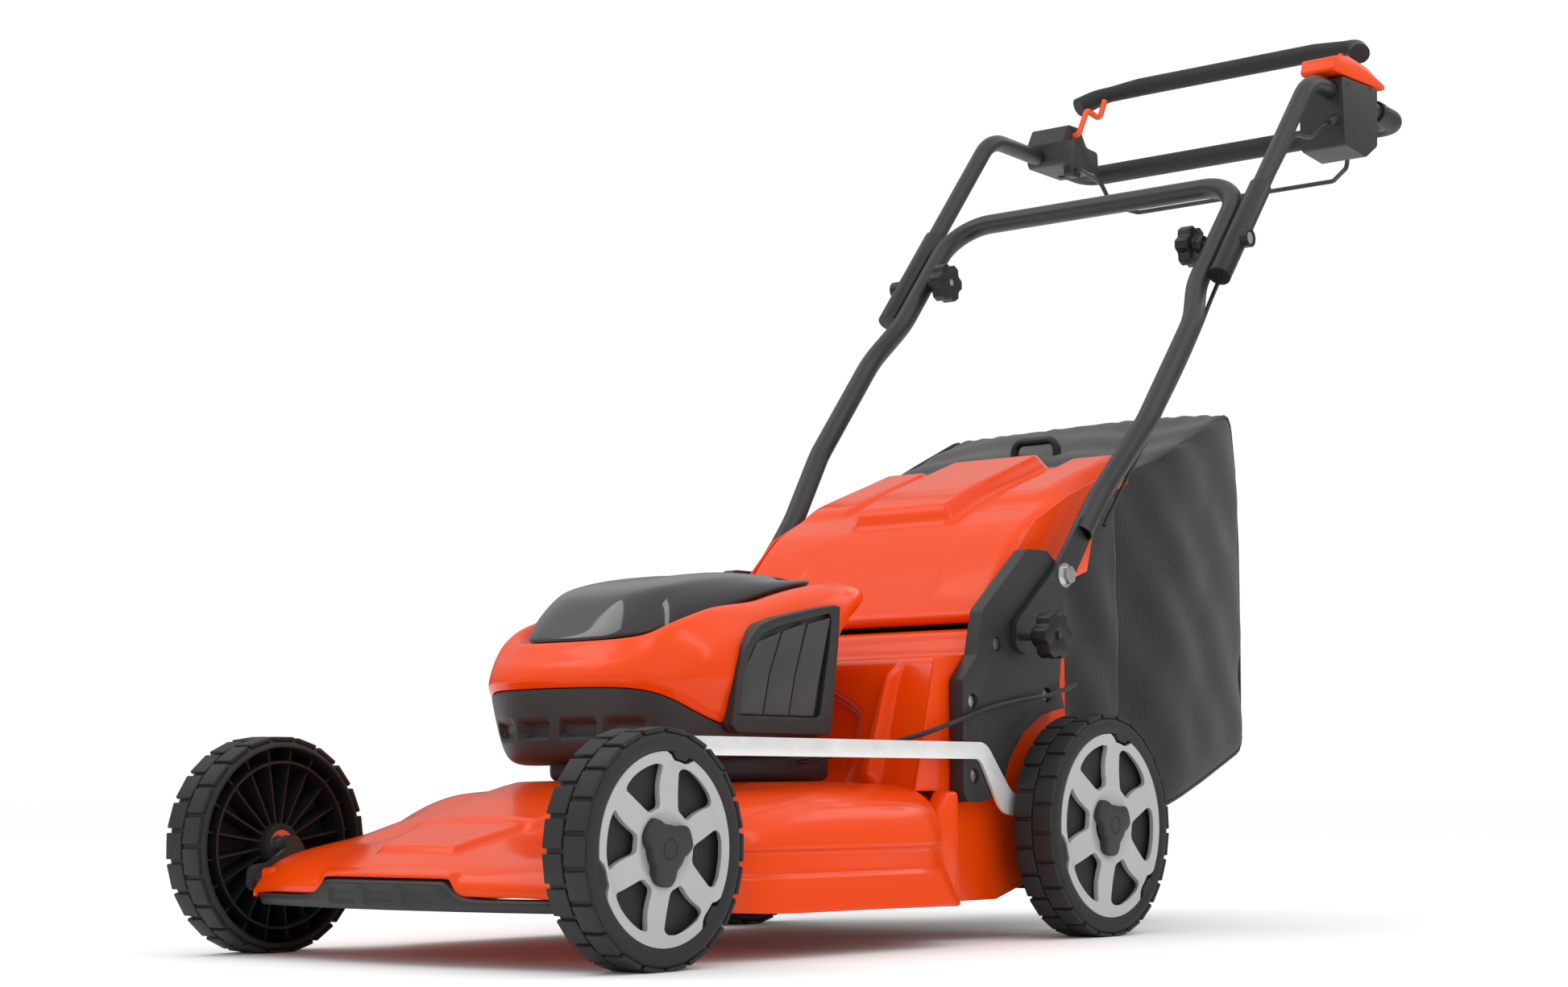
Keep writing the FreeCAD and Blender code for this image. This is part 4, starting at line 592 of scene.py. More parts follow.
def slabFlat(name, outline, low, high, body, material, rounding, replaced=(), segments=3):
    # An outline in (x, y) given a height along Z, with its edges rounded.
    points = [(x, y, low) for x, y in outline] + [(x, y, high) for x, y in outline]
    count = len(outline)
    faces = [tuple(range(count)), tuple(range(count, 2 * count))]
    faces += [(n, (n + 1) % count, (n + 1) % count + count, n + count) for n in range(count)]
    made = piece(name, points, faces, body, material, replaced)
    if rounding:
        bevel(made, rounding, segments)
        baked(made)
    return byAngle(made)


bumperShape = {"low": 47, "side": 60, "raised": 75, "padHalf": 84, "bow": 26, "front": -778, "depth": 26}


def noseLine(x, front, bow):
    return front + bow * (x / 200) ** 2


def makeBumper():
    # Dark strip under the nose, higher in the middle, with shallow recesses in the raised part.
    shape = bumperShape
    columns = [-197, -194, -185, -160, -130, -98, -84, -78, -70, -54, -40, -26, -12, 0,
               12, 26, 40, 54, 70, 78, 84, 98, 130, 160, 185, 194, 197]
    rows = []
    for x in columns:
        far = noseLine(x, shape["front"], shape["bow"])
        if abs(x) > 190:
            far += (abs(x) - 190) * 2.2
        top = shape["side"] + (shape["raised"] - shape["side"]) * float(1 - step(abs(x), 76, 92))
        back = far + shape["depth"]
        rows.append([(x, back, shape["low"] + 4), (x, far + 7, shape["low"]), (x, far + 1.5, shape["low"] + 2),
                     (x, far, shape["low"] + 6), (x, far, top - 4), (x, far + 2, top - 0.5), (x, back, top)])
    points, faces = lofted(rows, closed=True, caps=True)
    strip = piece("bumper_strip", points, faces, "chassis", "dark", replaced=("bumper",))
    subdivide(strip, 3)
    baked(strip)
    spots = coordinates(strip.data)
    x, z = spots[:, 0], spots[:, 2]
    for centre in (-48, 0, 48):
        inside = (1 - step(np.abs(x - centre), 15, 19)) * step(z, 52, 56) * (1 - step(z, 66, 70))
        facing = 1 - step(spots[:, 1] - noseLine(x, shape["front"], shape["bow"]), 1, 4)
        spots[:, 1] += 2.2 * inside * facing
    setCoordinates(strip.data, spots)


def makePivotBlocks():
    y, z = pivot("front_crank")
    for side in (1, -1):
        outline = [(y - 7, 56), (y - 7, z + 9), (y + 12, z + 12), (y + 12, 56)]
        plate("crank_block_" + sideName(side), outline, side * 176, side * 193, "chassis",
              "orange", 2)


housing = {
    "topLine": ((-577, 288), (-541, 292), (-507, 299), (-470, 311), (-400, 330), (-330, 349), (-269, 360),
                (-230, 360), (-205, 355), (-187, 345)),
    "edgeLine": ((-577, 248), (-541, 246), (-528, 241), (-482, 214), (-400, 212), (-300, 205)),
    "bottomLine": ((-560, 181), (-520, 176), (-480, 175), (-400, 183), (-300, 191)),
}


def lineHeight(line, y):
    places, heights = zip(*line)
    return float(np.interp(y, places, heights))


def planLoop(half, front, rear, frontCorner, rearCorner):
    # A rounded outline seen from above, from the middle of the rear round to the middle of the rear
    # again.
    left = [(half * 0.25, rear), (half * 0.5, rear), (half - rearCorner, rear)]
    for turn in (0.25, 0.5, 0.75, 1.0):
        angle = turn * math.pi / 2
        left.append((half - rearCorner + rearCorner * math.sin(angle),
                     rear - rearCorner + rearCorner * math.cos(angle)))
    start, end = rear - rearCorner, front + frontCorner
    left += [(half, start + (end - start) * share) for share in (0.14, 0.28, 0.42, 0.56, 0.7, 0.85, 1.0)]
    for turn in (0.2, 0.4, 0.6, 0.8, 1.0):
        angle = turn * math.pi / 2
        left.append((half - frontCorner + frontCorner * math.cos(angle),
                     front + frontCorner - frontCorner * math.sin(angle)))
    flat = half - frontCorner
    left += [(flat * 0.66, front - 0.9), (flat * 0.33, front - 1.5)]
    return [(0, rear)] + left + [(0, front - 1.7)] + [(-x, y) for x, y in reversed(left)]


def makeShell():
    # Orange upper housing, with a seat for the lid and a lip over its rear end.
    def edge(y):
        return lineHeight(housing["edgeLine"], y)

    def top(y):
        return lineHeight(housing["topLine"], y)

    rings = [
        (131, -567, -306, 96, 30, lambda x, y: edge(y)),
        (135, -571, -305, 100, 30, lambda x, y: edge(y) + 7),
        (137, -570, -297, 102, 34, lambda x, y: 0.55 * edge(y) + 0.45 * (top(y) - 16)),
        (135, -565, -258, 100, 40, lambda x, y: 0.22 * edge(y) + 0.78 * (top(y) - 12)),
        (127, -558, -212, 92, 42, lambda x, y: top(y) - 14 - 0.06 * (y + 300) * (y > -300)),
        (115, -550, -194, 80, 40, lambda x, y: top(y) - 4),
        (105, -544, -197, 68, 38, lambda x, y: top(y) + 0.5),
        (96, -540, -205, 58, 34, lambda x, y: top(y)),
        (91, -536, -230, 52, 20, lambda x, y: top(y) - 3 + 3 * float(step(y, -300, -255))),
        (80, -525, -260, 44, 16, lambda x, y: top(y) - 7 + 7 * float(step(y, -310, -262))),
        (60, -526, -318, 12, 12, lambda x, y: top(y) - 7.5),
        (56, -523, -322, 9, 9, lambda x, y: top(y) - 9),
        (55, -522, -324, 8, 8, lambda x, y: top(y) - 13),
        (55, -522, -324, 8, 8, lambda x, y: 276 + 0.03 * (y + 522)),
    ]
    rows = [[(x, y, height(x, y)) for x, y in planLoop(half, front, rear, corner, back)]
            for half, front, rear, corner, back, height in rings]
    points, faces = lofted(rows, closed=True)
    shell = piece("housing_cover", points, faces, "chassis", "orange",
                  replaced=("housing_shell",))
    subdivide(shell, 3)
    baked(shell)
    spots = coordinates(shell.data)
    x, y, z = spots[:, 0], spots[:, 1], spots[:, 2]
    swell = np.exp(-((y + 470) / 62) ** 2) * step(z, 232, 262) * (1 - step(z, 292, 322))
    spots[:, 0] += np.sign(x) * 3.5 * swell * step(np.abs(x), 105, 130)
    shoulder = np.exp(-((np.abs(x) - 105) / 15) ** 2) * step(y, -556, -520) * (1 - step(y, -460, -370))
    spots[:, 2] += 9 * shoulder * step(z, 262, 286)
    setCoordinates(shell.data, spots)
    thicken(shell, 3)
    baked(shell)
    loops = [(124, -216, 16), (112, -226, 25), (92, -296, 34)]
    rows = [[(x, max(y, -297), lineHeight(housing["topLine"], max(y, -297)) - drop)
             for x, y in planLoop(half, -420, rear, 60, 40)] for half, rear, drop in loops]
    points, faces = lofted(rows, closed=True)
    lining = piece("housing_lip_lining", points, faces, "chassis", "dark")
    subdivide(lining, 2)
    thicken(lining, 2)
    baked(lining)


def makeBase():
    # Dark lower housing: tall at the nose, cut down behind its front corners, drawn in towards the
    # pedestal.
    def edge(y):
        return lineHeight(housing["edgeLine"], y)

    def bottom(y):
        return lineHeight(housing["bottomLine"], y)

    rings = [
        (76, -506, -312, 50, 24, lambda x, y: bottom(y) + 1),
        (104, -538, -306, 74, 28, lambda x, y: bottom(y)),
        (114, -549, -304, 82, 28, lambda x, y: bottom(y) + 3),
        (121, -556, -302, 88, 30, lambda x, y: bottom(y) + 12),
        (127, -562, -301, 92, 30, lambda x, y: 0.5 * (bottom(y) + 12 + edge(y) - 3)),
        (131, -567, -300, 95, 30, lambda x, y: edge(y) - 3),
        (131.5, -567.5, -300, 96, 30, lambda x, y: edge(y) - 0.6),
        (127, -563, -303, 92, 28, lambda x, y: edge(y) - 0.4),
    ]
    rows = [[(x, y, height(x, y)) for x, y in planLoop(half, front, rear, corner, back)]
            for half, front, rear, corner, back, height in rings]
    points, faces = lofted(rows, closed=True)
    base = piece("housing_tub", points, faces, "chassis", "dark", replaced=("housing_base",))
    subdivide(base, 3)
    baked(base)
    spots = coordinates(base.data)
    x, y, z = spots[:, 0], spots[:, 1], spots[:, 2]
    front = 1 - step(y, -545, -520)
    for centre, half in ((-72, 17), (-24, 21), (30, 21), (78, 17)):
        pocket = (1 - step(np.abs(x - centre - (z - 205) * 0.25), half - 3, half)) * step(z, 200,
                                                                                          203) * (1 - step(z,
                                                                                                           214,
                                                                                                           219))
        spots[:, 1] += 8 * pocket * front
    setCoordinates(base.data, spots)
    rear = [(-128, -297, 206), (128, -297, 206), (128, -297, 330), (-128, -297, 330)]
    points = rear + [(x * 0.98, y - 4, z) for x, y, z in rear]
    faces = [(0, 1, 2, 3), (4, 5, 6, 7), (0, 1, 5, 4), (1, 2, 6, 5), (2, 3, 7, 6), (3, 0, 4, 7)]
    back = piece("housing_rear_wall", points, faces, "chassis", "dark")
    bevel(back, 1.5)
    baked(back)
    foot = [(-98, -466), (98, -466), (98, -257), (-98, -257)]
    slabFlat("pedestal_skirt", foot, 160.4, 188, "chassis", "dark", 9,
             replaced=("motor_pedestal",), segments=4)


def makeLid():
    # Polished lid: steep nose, domed top, soft shoulder line.
    def top(y):
        return lineHeight(housing["topLine"], y)

    crown = ((-541, 300), (-528, 326), (-508, 341), (-480, 350), (-430, 360), (-369, 367), (-310, 368),
             (-275, 366), (-269, 362))

    def dome(y):
        return lineHeight(crown, y)

    rings = [
        (86, -537, -269, 58, 16, lambda x, y: top(y) - 1.5),
        (88, -540, -268, 60, 16, lambda x, y: top(y) + 1),
        (88, -540, -268, 60, 16, lambda x, y: top(y) + 4),
        (83, -530, -272, 56, 16, lambda x, y: top(y) + 0.42 * max(0, dome(y) - top(y)) + 2),
        (74, -510, -276, 50, 15, lambda x, y: max(top(y) + 4, dome(y) - 7)),
        (66, -498, -279, 44, 14, lambda x, y: max(top(y) + 5, dome(y) - 2.5)),
        (50, -478, -286, 34, 12, lambda x, y: dome(y) + 0.5),
        (24, -440, -310, 14, 9, lambda x, y: dome(y) + 1.5),
    ]
    rows = [[(x, y, height(x, y)) for x, y in planLoop(half, front, rear, corner, back)]
            for half, front, rear, corner, back, height in rings]
    points, faces = lofted(rows, closed=True)
    count = len(rows[0])
    faces.append(tuple(range((len(rows) - 1) * count, len(rows) * count)))
    lid = piece("battery_cover", points, faces, "battery_lid", "gloss",
                replaced=("battery_lid",))
    subdivide(lid, 3)
    thicken(lid, 2.5)
    baked(lid)


vent = {"inner": 136.4, "panel": 1.8, "slat": 8.0, "tilt": 4.6}


def makeVents():
    # Dark side panel with a raised rim and three broad slanted slats.
    panel = [(-467, 212), (-458, 262), (-446, 288), (-424, 309), (-398, 317), (-340, 328), (-300, 334),
             (-303, 300),
             (-316, 205), (-460, 205)]
    window = [(-456, 221), (-449, 262), (-438, 284), (-420, 300), (-396, 308), (-314, 325), (-317, 296),
              (-334, 221)]
    for side in (1, -1):
        low, mid, high = (side * (vent["inner"] + depth) for depth in (-6.0, vent["panel"], vent["slat"]))
        plate("vent_panel_" + sideName(side), panel, low, mid, "chassis", "dark", 1.2,
              replaced=("vent_panels",) if side > 0 else ())
        outer, inside = resample(panel, 48), resample(window, 48)
        rows = [[(mid - side, y, z) for y, z in outer], [(high, y, z) for y, z in outer],
                [(high, y, z) for y, z in inside], [(mid - side, y, z) for y, z in inside]]
        points, faces = lofted(rows + [rows[0]], closed=True)
        rim = piece("vent_rim_" + sideName(side), points, faces, "chassis", "dark")
        bevel(rim, 1.2, 3)
        baked(rim)
        byAngle(rim)
        for number in range(3):
            start = -454 + 39 * number
            foot = [(start, 223), (start + 32, 223)]
            knee = [(start + 10, 262), (start + 42, 262)]
            head = [(start + 30, (292, 304, 313)[number]), (start + 60, (302, 313, 320)[number])]
            front = [foot[0], knee[0], head[0]]
            rear = [foot[1], knee[1], head[1]]
            outline = front + list(reversed(rear))
            count = len(outline)
            lean = [vent["tilt"] if place < len(front) else 0.0 for place in range(count)]
            base = [(mid - side * 0.5, y, z) for y, z in outline]
            face = [(high - side * (0.4 + fall), y, z) for (y, z), fall in zip(outline, lean)]
            faces = [tuple(range(count)), tuple(range(count, 2 * count))]
            faces += [(n, (n + 1) % count, (n + 1) % count + count, n + count) for n in range(count)]
            slat = piece(f"vent_slat_{sideName(side)}_{number}", base + face, faces, "chassis",
                         "slat")
            bevel(slat, 0.9, 2)
            baked(slat)
            byAngle(slat)


def resample(outline, count):
    # Evenly spaced points round a closed outline, starting at its first point.
    closed = np.array(outline + [outline[0]], float)
    lengths = np.r_[0, np.cumsum(np.hypot(*np.diff(closed, axis=0).T))]
    marks = np.linspace(0, lengths[-1], count, endpoint=False)
    return list(zip(np.interp(marks, lengths, closed[:, 0]), np.interp(marks, lengths, closed[:, 1])))


def tube(name, points, radius, body, material, replaced=(), sides=20, radii=None, closed=False):
    # A round bar swept along a line of points, without twist.
    spots = [Vector(point) for point in points]
    count = len(spots)
    rows = []
    normal = None
    for number, spot in enumerate(spots):
        before = spots[number - 1] if number or closed else spot
        after = spots[(number + 1) % count] if number < count - 1 or closed else spot
        ahead = (after - before).normalized()
        if normal is None:
            normal = ahead.orthogonal().normalized()
        normal = (normal - ahead * normal.dot(ahead)).normalized()
        across = ahead.cross(normal)
        size = radii[number] if radii else radius
        rows.append([tuple(spot + size * (math.cos(turn) * normal + math.sin(turn) * across))
                     for turn in (2 * math.pi * side / sides for side in range(sides))])
    if closed:
        rows.append(rows[0])
    swept, faces = lofted(rows, closed=True, caps=not closed)
    return byAngle(piece(name, swept, faces, body, material, replaced), 50)


def roundedLine(points, radius, steps=8, closed=False):
    # A line through the points with each corner turned by an arc.
    spots = [Vector(point) for point in points]
    count = len(spots)
    line = []
    for number, spot in enumerate(spots):
        if not closed and number in (0, count - 1):
            line.append(spot)
            continue
        before = (spots[number - 1] - spot)
        after = (spots[(number + 1) % count] - spot)
        half = before.angle(after) / 2
        if half > math.pi / 2 - 0.02:
            line.append(spot)
            continue
        reach = min(radius / math.tan(half), 0.45 * before.length, 0.45 * after.length)
        start, end = spot + before.normalized() * reach, spot + after.normalized() * reach
        for turn in range(steps + 1):
            share = turn / steps
            line.append((1 - share) ** 2 * start + 2 * share * (1 - share) * spot + share ** 2 * end)
    return line


def softened(node, width, material, segments=3, degrees=30, body=None):
    # A copy of a CAD node with its flat faces joined up and its edges rounded.
    source = nodes[node]
    mesh = source.data.copy()
    mesh.name = node + "_softened"
    build = bmesh.new()
    build.from_mesh(mesh)
    bmesh.ops.remove_doubles(build, verts=build.verts, dist=2e-5)
    bmesh.ops.dissolve_limit(build, angle_limit=math.radians(1.0), verts=build.verts, edges=build.edges)
    sharp = [edge for edge in build.edges
             if len(edge.link_faces) == 2 and edge.calc_face_angle(0.0) > math.radians(degrees)]
    bmesh.ops.bevel(build, geom=sharp, offset=width / 1000, segments=segments, profile=0.5, affect="EDGES",
                    clamp_overlap=True)
    bmesh.ops.recalc_face_normals(build, faces=build.faces)
    build.to_mesh(mesh)
    build.free()
    made = bpy.data.objects.new(node + "_softened", mesh)
    bpy.context.scene.collection.objects.link(made)
    mesh.materials.clear()
    mesh.materials.append(finishes[material])
    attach(made, body or source["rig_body"])
    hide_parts(node)
    return byAngle(made, 40)


softCopies = {
    "left_bracket": (2.2, "dark", "dark_plastic"), "right_bracket": (2.2, "dark", "dark_plastic"),
    "control_box": (3.0, "dark", "dark_plastic"), "pivot_block": (2.5, "dark", "dark_plastic"),
    "start_lever": (4.0, "orange", "orange_plastic"),
    "left_clamp_knob": (2.0, "knob", "black_plastic"), "right_clamp_knob": (2.0, "knob", "black_plastic"),
    "left_fold_knob": (2.0, "knob", "black_plastic"), "right_fold_knob": (2.0, "knob", "black_plastic"),
    "height_lever": (1.2, "dark", "dark_plastic"), "link_bar": (0.6, "bar", "zinc_steel"),
    "handle_sleeves": (0.8, "knob", "black_plastic"), "bag_frame": (1.5, "knob", "dark_plastic"),
    "drive_gearbox": (2.0, "dark", "dark_plastic"),
}


keptLooks = {
    "cutting_motor": "alloy", "battery_tray": "dark", "battery": "knob", "bracket_fasteners": "zinc",
    "flap_hinge_rod": "zinc", "motor_shaft": "zinc", "blade_adapter": "alloy", "blade": "steel",
             "blade_bolt": "zinc",
    "trailing_skirt": "tyre", "front_axle": "steel", "rear_axle": "steel", "front_left_bearing": "zinc",
    "front_right_bearing": "zinc", "lower_handle": "tube", "upper_handle": "tube", "fold_bolts": "zinc",
    "upper_cable": "cable", "lower_cable": "cable", "deck_cable": "cable", "bail_rods": "orangeRod",
    "drive_bail": "tube", "bag_handle": "knob",
}


def dressKept():
    for node, material in keptLooks.items():
        mesh = nodes[node].data
        for number in range(len(mesh.materials)):
            mesh.materials[number] = finishes[material]


wheelShape = {"tread": 2.1, "ribs": 20, "blocks": {"front": 22, "rear": 25}}


def treadNodes(count, radius, middle, block):
    # Geometry nodes: two rows of blocks round a wheel, one half a step on.
    group = bpy.data.node_groups.new("tread blocks", "GeometryNodeTree")
    group.interface.new_socket("Geometry", in_out="INPUT", socket_type="NodeSocketGeometry")
    blocks = group.interface.new_socket("Blocks", in_out="INPUT", socket_type="NodeSocketInt")
    reach = group.interface.new_socket("Radius", in_out="INPUT", socket_type="NodeSocketFloat")
    finishInput = group.interface.new_socket("Finish", in_out="INPUT", socket_type="NodeSocketMaterial")
    group.interface.new_socket("Geometry", in_out="OUTPUT", socket_type="NodeSocketGeometry")
    entry = addNode(group, "NodeGroupInput")
    out = addNode(group, "NodeGroupOutput")
    joined = addNode(group, "GeometryNodeJoinGeometry")
    for offset, width, shift in ((-11.9, 21.8, 0.0), (11.9, 21.8, 0.5)):
        circle = addNode(group, "GeometryNodeMeshCircle")
        link(group, entry, "Blocks", circle, "Vertices")
        link(group, entry, "Radius", circle, "Radius")
        facing = addNode(group, "GeometryNodeTransform", {"Rotation": (0, math.pi / 2, 0)})
        cube = addNode(group, "GeometryNodeMeshCube", {"Size": (width / 1000, block[0] / 1000,
                                                                block[1] / 1000)})
        spun = addNode(group, "GeometryNodeTransform", {"Rotation": (shift * 2 * math.pi / count, 0, 0),
                                                        "Translation": ((middle + offset) / 1000, 0, 0)})
        instances = addNode(group, "GeometryNodeInstanceOnPoints")
        index = addNode(group, "GeometryNodeInputIndex")
        angle = addNode(group, "ShaderNodeMath", {1: 2 * math.pi / count}, operation="MULTIPLY")
        turn = addNode(group, "ShaderNodeCombineXYZ")
        link(group, index, 0, angle, 0)
        link(group, angle, 0, turn, "X")
        link(group, circle, "Mesh", facing, "Geometry")
        link(group, facing, "Geometry", instances, "Points")
        link(group, cube, "Mesh", instances, "Instance")
        link(group, turn, "Vector", instances, "Rotation")
        link(group, instances, "Instances", spun, "Geometry")
        link(group, spun, "Geometry", joined, "Geometry")
    real = addNode(group, "GeometryNodeRealizeInstances")
    painted = addNode(group, "GeometryNodeSetMaterial")
    link(group, joined, "Geometry", real, "Geometry")
    link(group, real, "Geometry", painted, "Geometry")
    link(group, entry, "Finish", painted, "Material")
    link(group, painted, "Geometry", out, "Geometry")
    return group, {blocks.identifier: count, reach.identifier: radius / 1000,
                   finishInput.identifier: finishes["tyre"]}


def turned(name, profile, side, wheelIn, hub, body, material, replaced=(), sides=96):
    # A profile of (distance outwards from the wheel's inner plane, radius) turned about the wheel's axle.
    rows = []
    for number in range(sides):
        turn = 2 * math.pi * number / sides
        rows.append([(side * (wheelIn + out), hub[0] + radius * math.cos(turn),
                      hub[1] + radius * math.sin(turn))
                     for out, radius in profile])
    rows.append(rows[0])
    points = [point for row in rows[:-1] for point in row]
    columns = len(profile)
    faces = []
    for row in range(sides):
        following = (row + 1) % sides
        for column in range(columns):
            beside = (column + 1) % columns
            faces.append((row * columns + column, row * columns + beside, following * columns + beside,
                          following * columns + column))
    return byAngle(piece(name, points, faces, body, material, replaced), 42)


def makeWheel(axle, side):
    label = f"{axle}_{sideName(side)}"
    hub = frontHub if axle == "front" else rearHub
    radius = hub[1]
    wheelIn = abs(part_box(label + "_wheel")[0 if side > 0 else 1].x) * 1000
    body = label + "_wheel"
    inner, outer = radius - 9, radius - 19
    skin = radius - wheelShape["tread"]
    seat = [(4, 6.5)] if axle == "rear" else [(12, 6.5), (12, 14.2), (4, 14.2)]
    profile = seat + [(4, 20), (32, 22), (34, 30), (34, inner - 3), (31, inner), (1.5, inner), (0, inner + 1.5),
               (0, skin - 7), (1, skin - 4), (4, skin - 1), (8, skin), (42, skin), (46.5, skin - 1.5),
                      (49, skin - 5),
               (49.6, skin - 9), (48.6, outer + 2), (47.4, outer), (37, outer), (37, 20), (40, 20), (40, 6.5)]
    turned(label + "_tyre", profile, side, wheelIn, hub, body, "tyre",
           replaced=(label + "_wheel",))
    ribFaces, ribPoints = [], []
    for number in range(wheelShape["ribs"]):
        turn = 2 * math.pi * (number + 0.5) / wheelShape["ribs"]
        along, across = (math.cos(turn), math.sin(turn)), (-math.sin(turn), math.cos(turn))
        start = len(ribPoints)
        for reach in (19.0, inner - 1):
            for out in (9.0, 33.5):
                for wide in (-0.9, 0.9):
                    ribPoints.append((side * (wheelIn + out), hub[0] + reach * along[0] + wide * across[0],
                                      hub[1] + reach * along[1] + wide * across[1]))
        for face in ((0, 1, 3, 2), (4, 5, 7, 6), (0, 1, 5, 4), (2, 3, 7, 6), (0, 2, 6, 4), (1, 3, 7, 5)):
            ribFaces.append(tuple(start + corner for corner in face))
    byAngle(piece(label + "_ribs", ribPoints, ribFaces, body, "inner"))
    for number in range(3):
        tab = []
        for off in (-8, -5.5, 0, 5.5, 8):
            turn = math.radians(disc["tabs"] + 120 * number + off)
            tab.append((hub[0] + (outer + 1.5) * math.cos(turn), hub[1] + (outer + 1.5) * math.sin(turn)))
        for off in (5.5, 4.4, 0, -4.4, -5.5):
            turn = math.radians(disc["tabs"] + 120 * number + off)
            deep = outer - (5.6 if abs(off) < 5 else 4.4)
            tab.append((hub[0] + deep * math.cos(turn), hub[1] + deep * math.sin(turn)))
        plate(f"{label}_tab_{number}", tab, side * (wheelIn + 36.5), side * (wheelIn + 48.4), body,
              "tyre", 1)
    ring = radius * 0.77
    turned(label + "_ring", [(3, ring - 1.2), (34, ring - 1.2), (34, ring + 1.2), (3, ring + 1.2)], side,
           wheelIn, hub,
           body, "inner")
    count = wheelShape["blocks"][axle]
    pitch = 2 * math.pi * radius / count
    holder = bpy.data.objects.new(label + "_tread", bpy.data.meshes.new(label + "_tread"))
    bpy.context.scene.collection.objects.link(holder)
    modifier = holder.modifiers.new("tread", "NODES")
    group, settings = treadNodes(count, skin + wheelShape["tread"] / 2 - 0.4, 25, (pitch * 0.84, 4.0))
    modifier.node_group = group
    for identifier, value in settings.items():
        modifier[identifier] = value
    bpy.context.view_layer.update()
    graph = bpy.context.evaluated_depsgraph_get()
    graph.update()
    mesh = bpy.data.meshes.new_from_object(holder.evaluated_get(graph))
    bpy.data.objects.remove(holder)
    mesh.transform(Matrix.Diagonal((side, 1, 1, 1)))
    mesh.transform(Matrix.Translation(at(side * wheelIn, hub[0], hub[1])))
    tread = settle(label + "_tread", mesh, body, "tyre")
    bevel(tread, 1.1, 3)
    baked(tread)
    byAngle(tread)
    makeDisc(label, hub, radius, side, wheelIn, body)
    makeCap(label, hub, side, wheelIn, body)


disc = {"windows": 6, "first": 52, "from": 0.43, "to": 0.885, "half": 20.5, "round": 0.07, "tabs": 76,
        "tabHalf": 9}
cap = {"lobe": 31.5, "waist": 21.0, "first": 20}


def windowHalf(relative):
    # Half the angle of a window at a share of the disc's radius, drawn in at both ends so its corners are
    # round.
    low, high, corner = disc["from"], disc["to"], disc["round"]
    wide = disc["half"] * (0.6 + 0.5 * (relative - low) / (high - low))
    inward = max(0.0, 1 - min(relative - low, high - relative) / corner)
    return wide * (0.55 + 0.45 * math.sqrt(max(0.0, 1 - inward ** 2)))


def makeDisc(label, hub, radius, side, wheelIn, body):
    # Grey disc: narrow rim and six broad spokes, with deep windows between them and three notches in the
    # edge.
    edge = radius - 19.6
    low, high = disc["from"], disc["to"]
    opening = [low + (high - low) * share for share in (0, 0.03, 0.08, 0.16, 0.3, 0.5, 0.7, 0.84, 0.92, 0.97,
                                                        1)]
    levels = [0.24, 0.3, 0.36, 0.4] + opening + [0.91, 0.94, 0.96, 0.98, 1.0]
    first, last = 4, 4 + len(opening) - 1
    inWindow, inSpoke = 10, 10
    points, faces = [], []
    for relative in levels:
        half = windowHalf(min(max(relative, low), high))
        out = 43.4 + 3.4 * float(step(relative, 0.3, 0.4)) - 2.6 * float(step(relative, 0.42, 0.66)) \
            + 3.6 * float(step(relative, 0.78, 0.93))
        for window in range(disc["windows"]):
            centre = disc["first"] + 60 * window
            angles = [centre - half + 2 * half * share / inWindow for share in range(inWindow)]
            angles += [centre + half + (60 - 2 * half) * share / inSpoke for share in range(inSpoke)]
            for angle in angles:
                turn = math.radians(angle)
                off = abs((angle - disc["tabs"] + 60) % 120 - 60)
                notch = 1 - float(step(off, disc["tabHalf"] - 3, disc["tabHalf"] + 3))
                reach = edge * (relative - 0.085 * notch * float(step(relative, 0.86, 1.0)))
                points.append((side * (wheelIn + out), hub[0] + reach * math.cos(turn),
                               hub[1] + reach * math.sin(turn)))
    columns = disc["windows"] * (inWindow + inSpoke)
    for row in range(len(levels) - 1):
        for column in range(columns):
            if first <= row < last and column % (inWindow + inSpoke) < inWindow:
                continue
            following = (column + 1) % columns
            faces.append((row * columns + column, row * columns + following, (row + 1) * columns + following,
                          (row + 1) * columns + column))
    used = sorted({corner for face in faces for corner in face})
    renumbered = {old: new for new, old in enumerate(used)}
    made = piece(label + "_disc", [points[old] for old in used],
                 [tuple(renumbered[corner] for corner in face) for face in faces],
                 body, "disc", replaced=(label + "_trim",))
    facing = sum(polygon.normal.x * polygon.area for polygon in made.data.polygons) * side
    if facing < 0:
        made.data.flip_normals()
    thicken(made, 5.6)
    baked(made)
    bevel(made, 0.9, 3, 42)
    baked(made)
    byAngle(made, 38)


def makeCap(label, hub, side, wheelIn, body):
    # Dark three-lobed hub cap with a flat face and a shallow ring in the middle.
    rows = []
    for scale, out in ((1.0, 44.0), (1.0, 49.6), (0.985, 51.0), (0.95, 52.0), (0.88, 52.5), (0.7, 52.7),
                       (0.45, 52.8),
                       (0.42, 52.0), (0.38, 52.0), (0.35, 52.8), (0.1, 52.9), (0.01, 52.9)):
        row = []
        for number in range(120):
            turn = 2 * math.pi * number / 120
            off = abs((math.degrees(turn) - cap["first"] + 60) % 120 - 60)
            lobe = float(1 - step(off, 13, 44))
            reach = cap["waist"] + (cap["lobe"] - cap["waist"]) * lobe
            if scale < 0.5:
                reach = cap["waist"]
            row.append((side * (wheelIn + out), hub[0] + scale * reach * math.cos(turn),
                        hub[1] + scale * reach * math.sin(turn)))
        rows.append(row)
    points, faces = lofted(rows, closed=True, caps=True)
    byAngle(piece(label + "_hub_cap", points, faces, body, "dark", replaced=(label + "_cap",)),
            34)


grip = {"tubeRadius": 10.9, "reach": 62, "slope": -0.0374, "bend": 42, "sleeve": 13.6, "collar": 14.8}


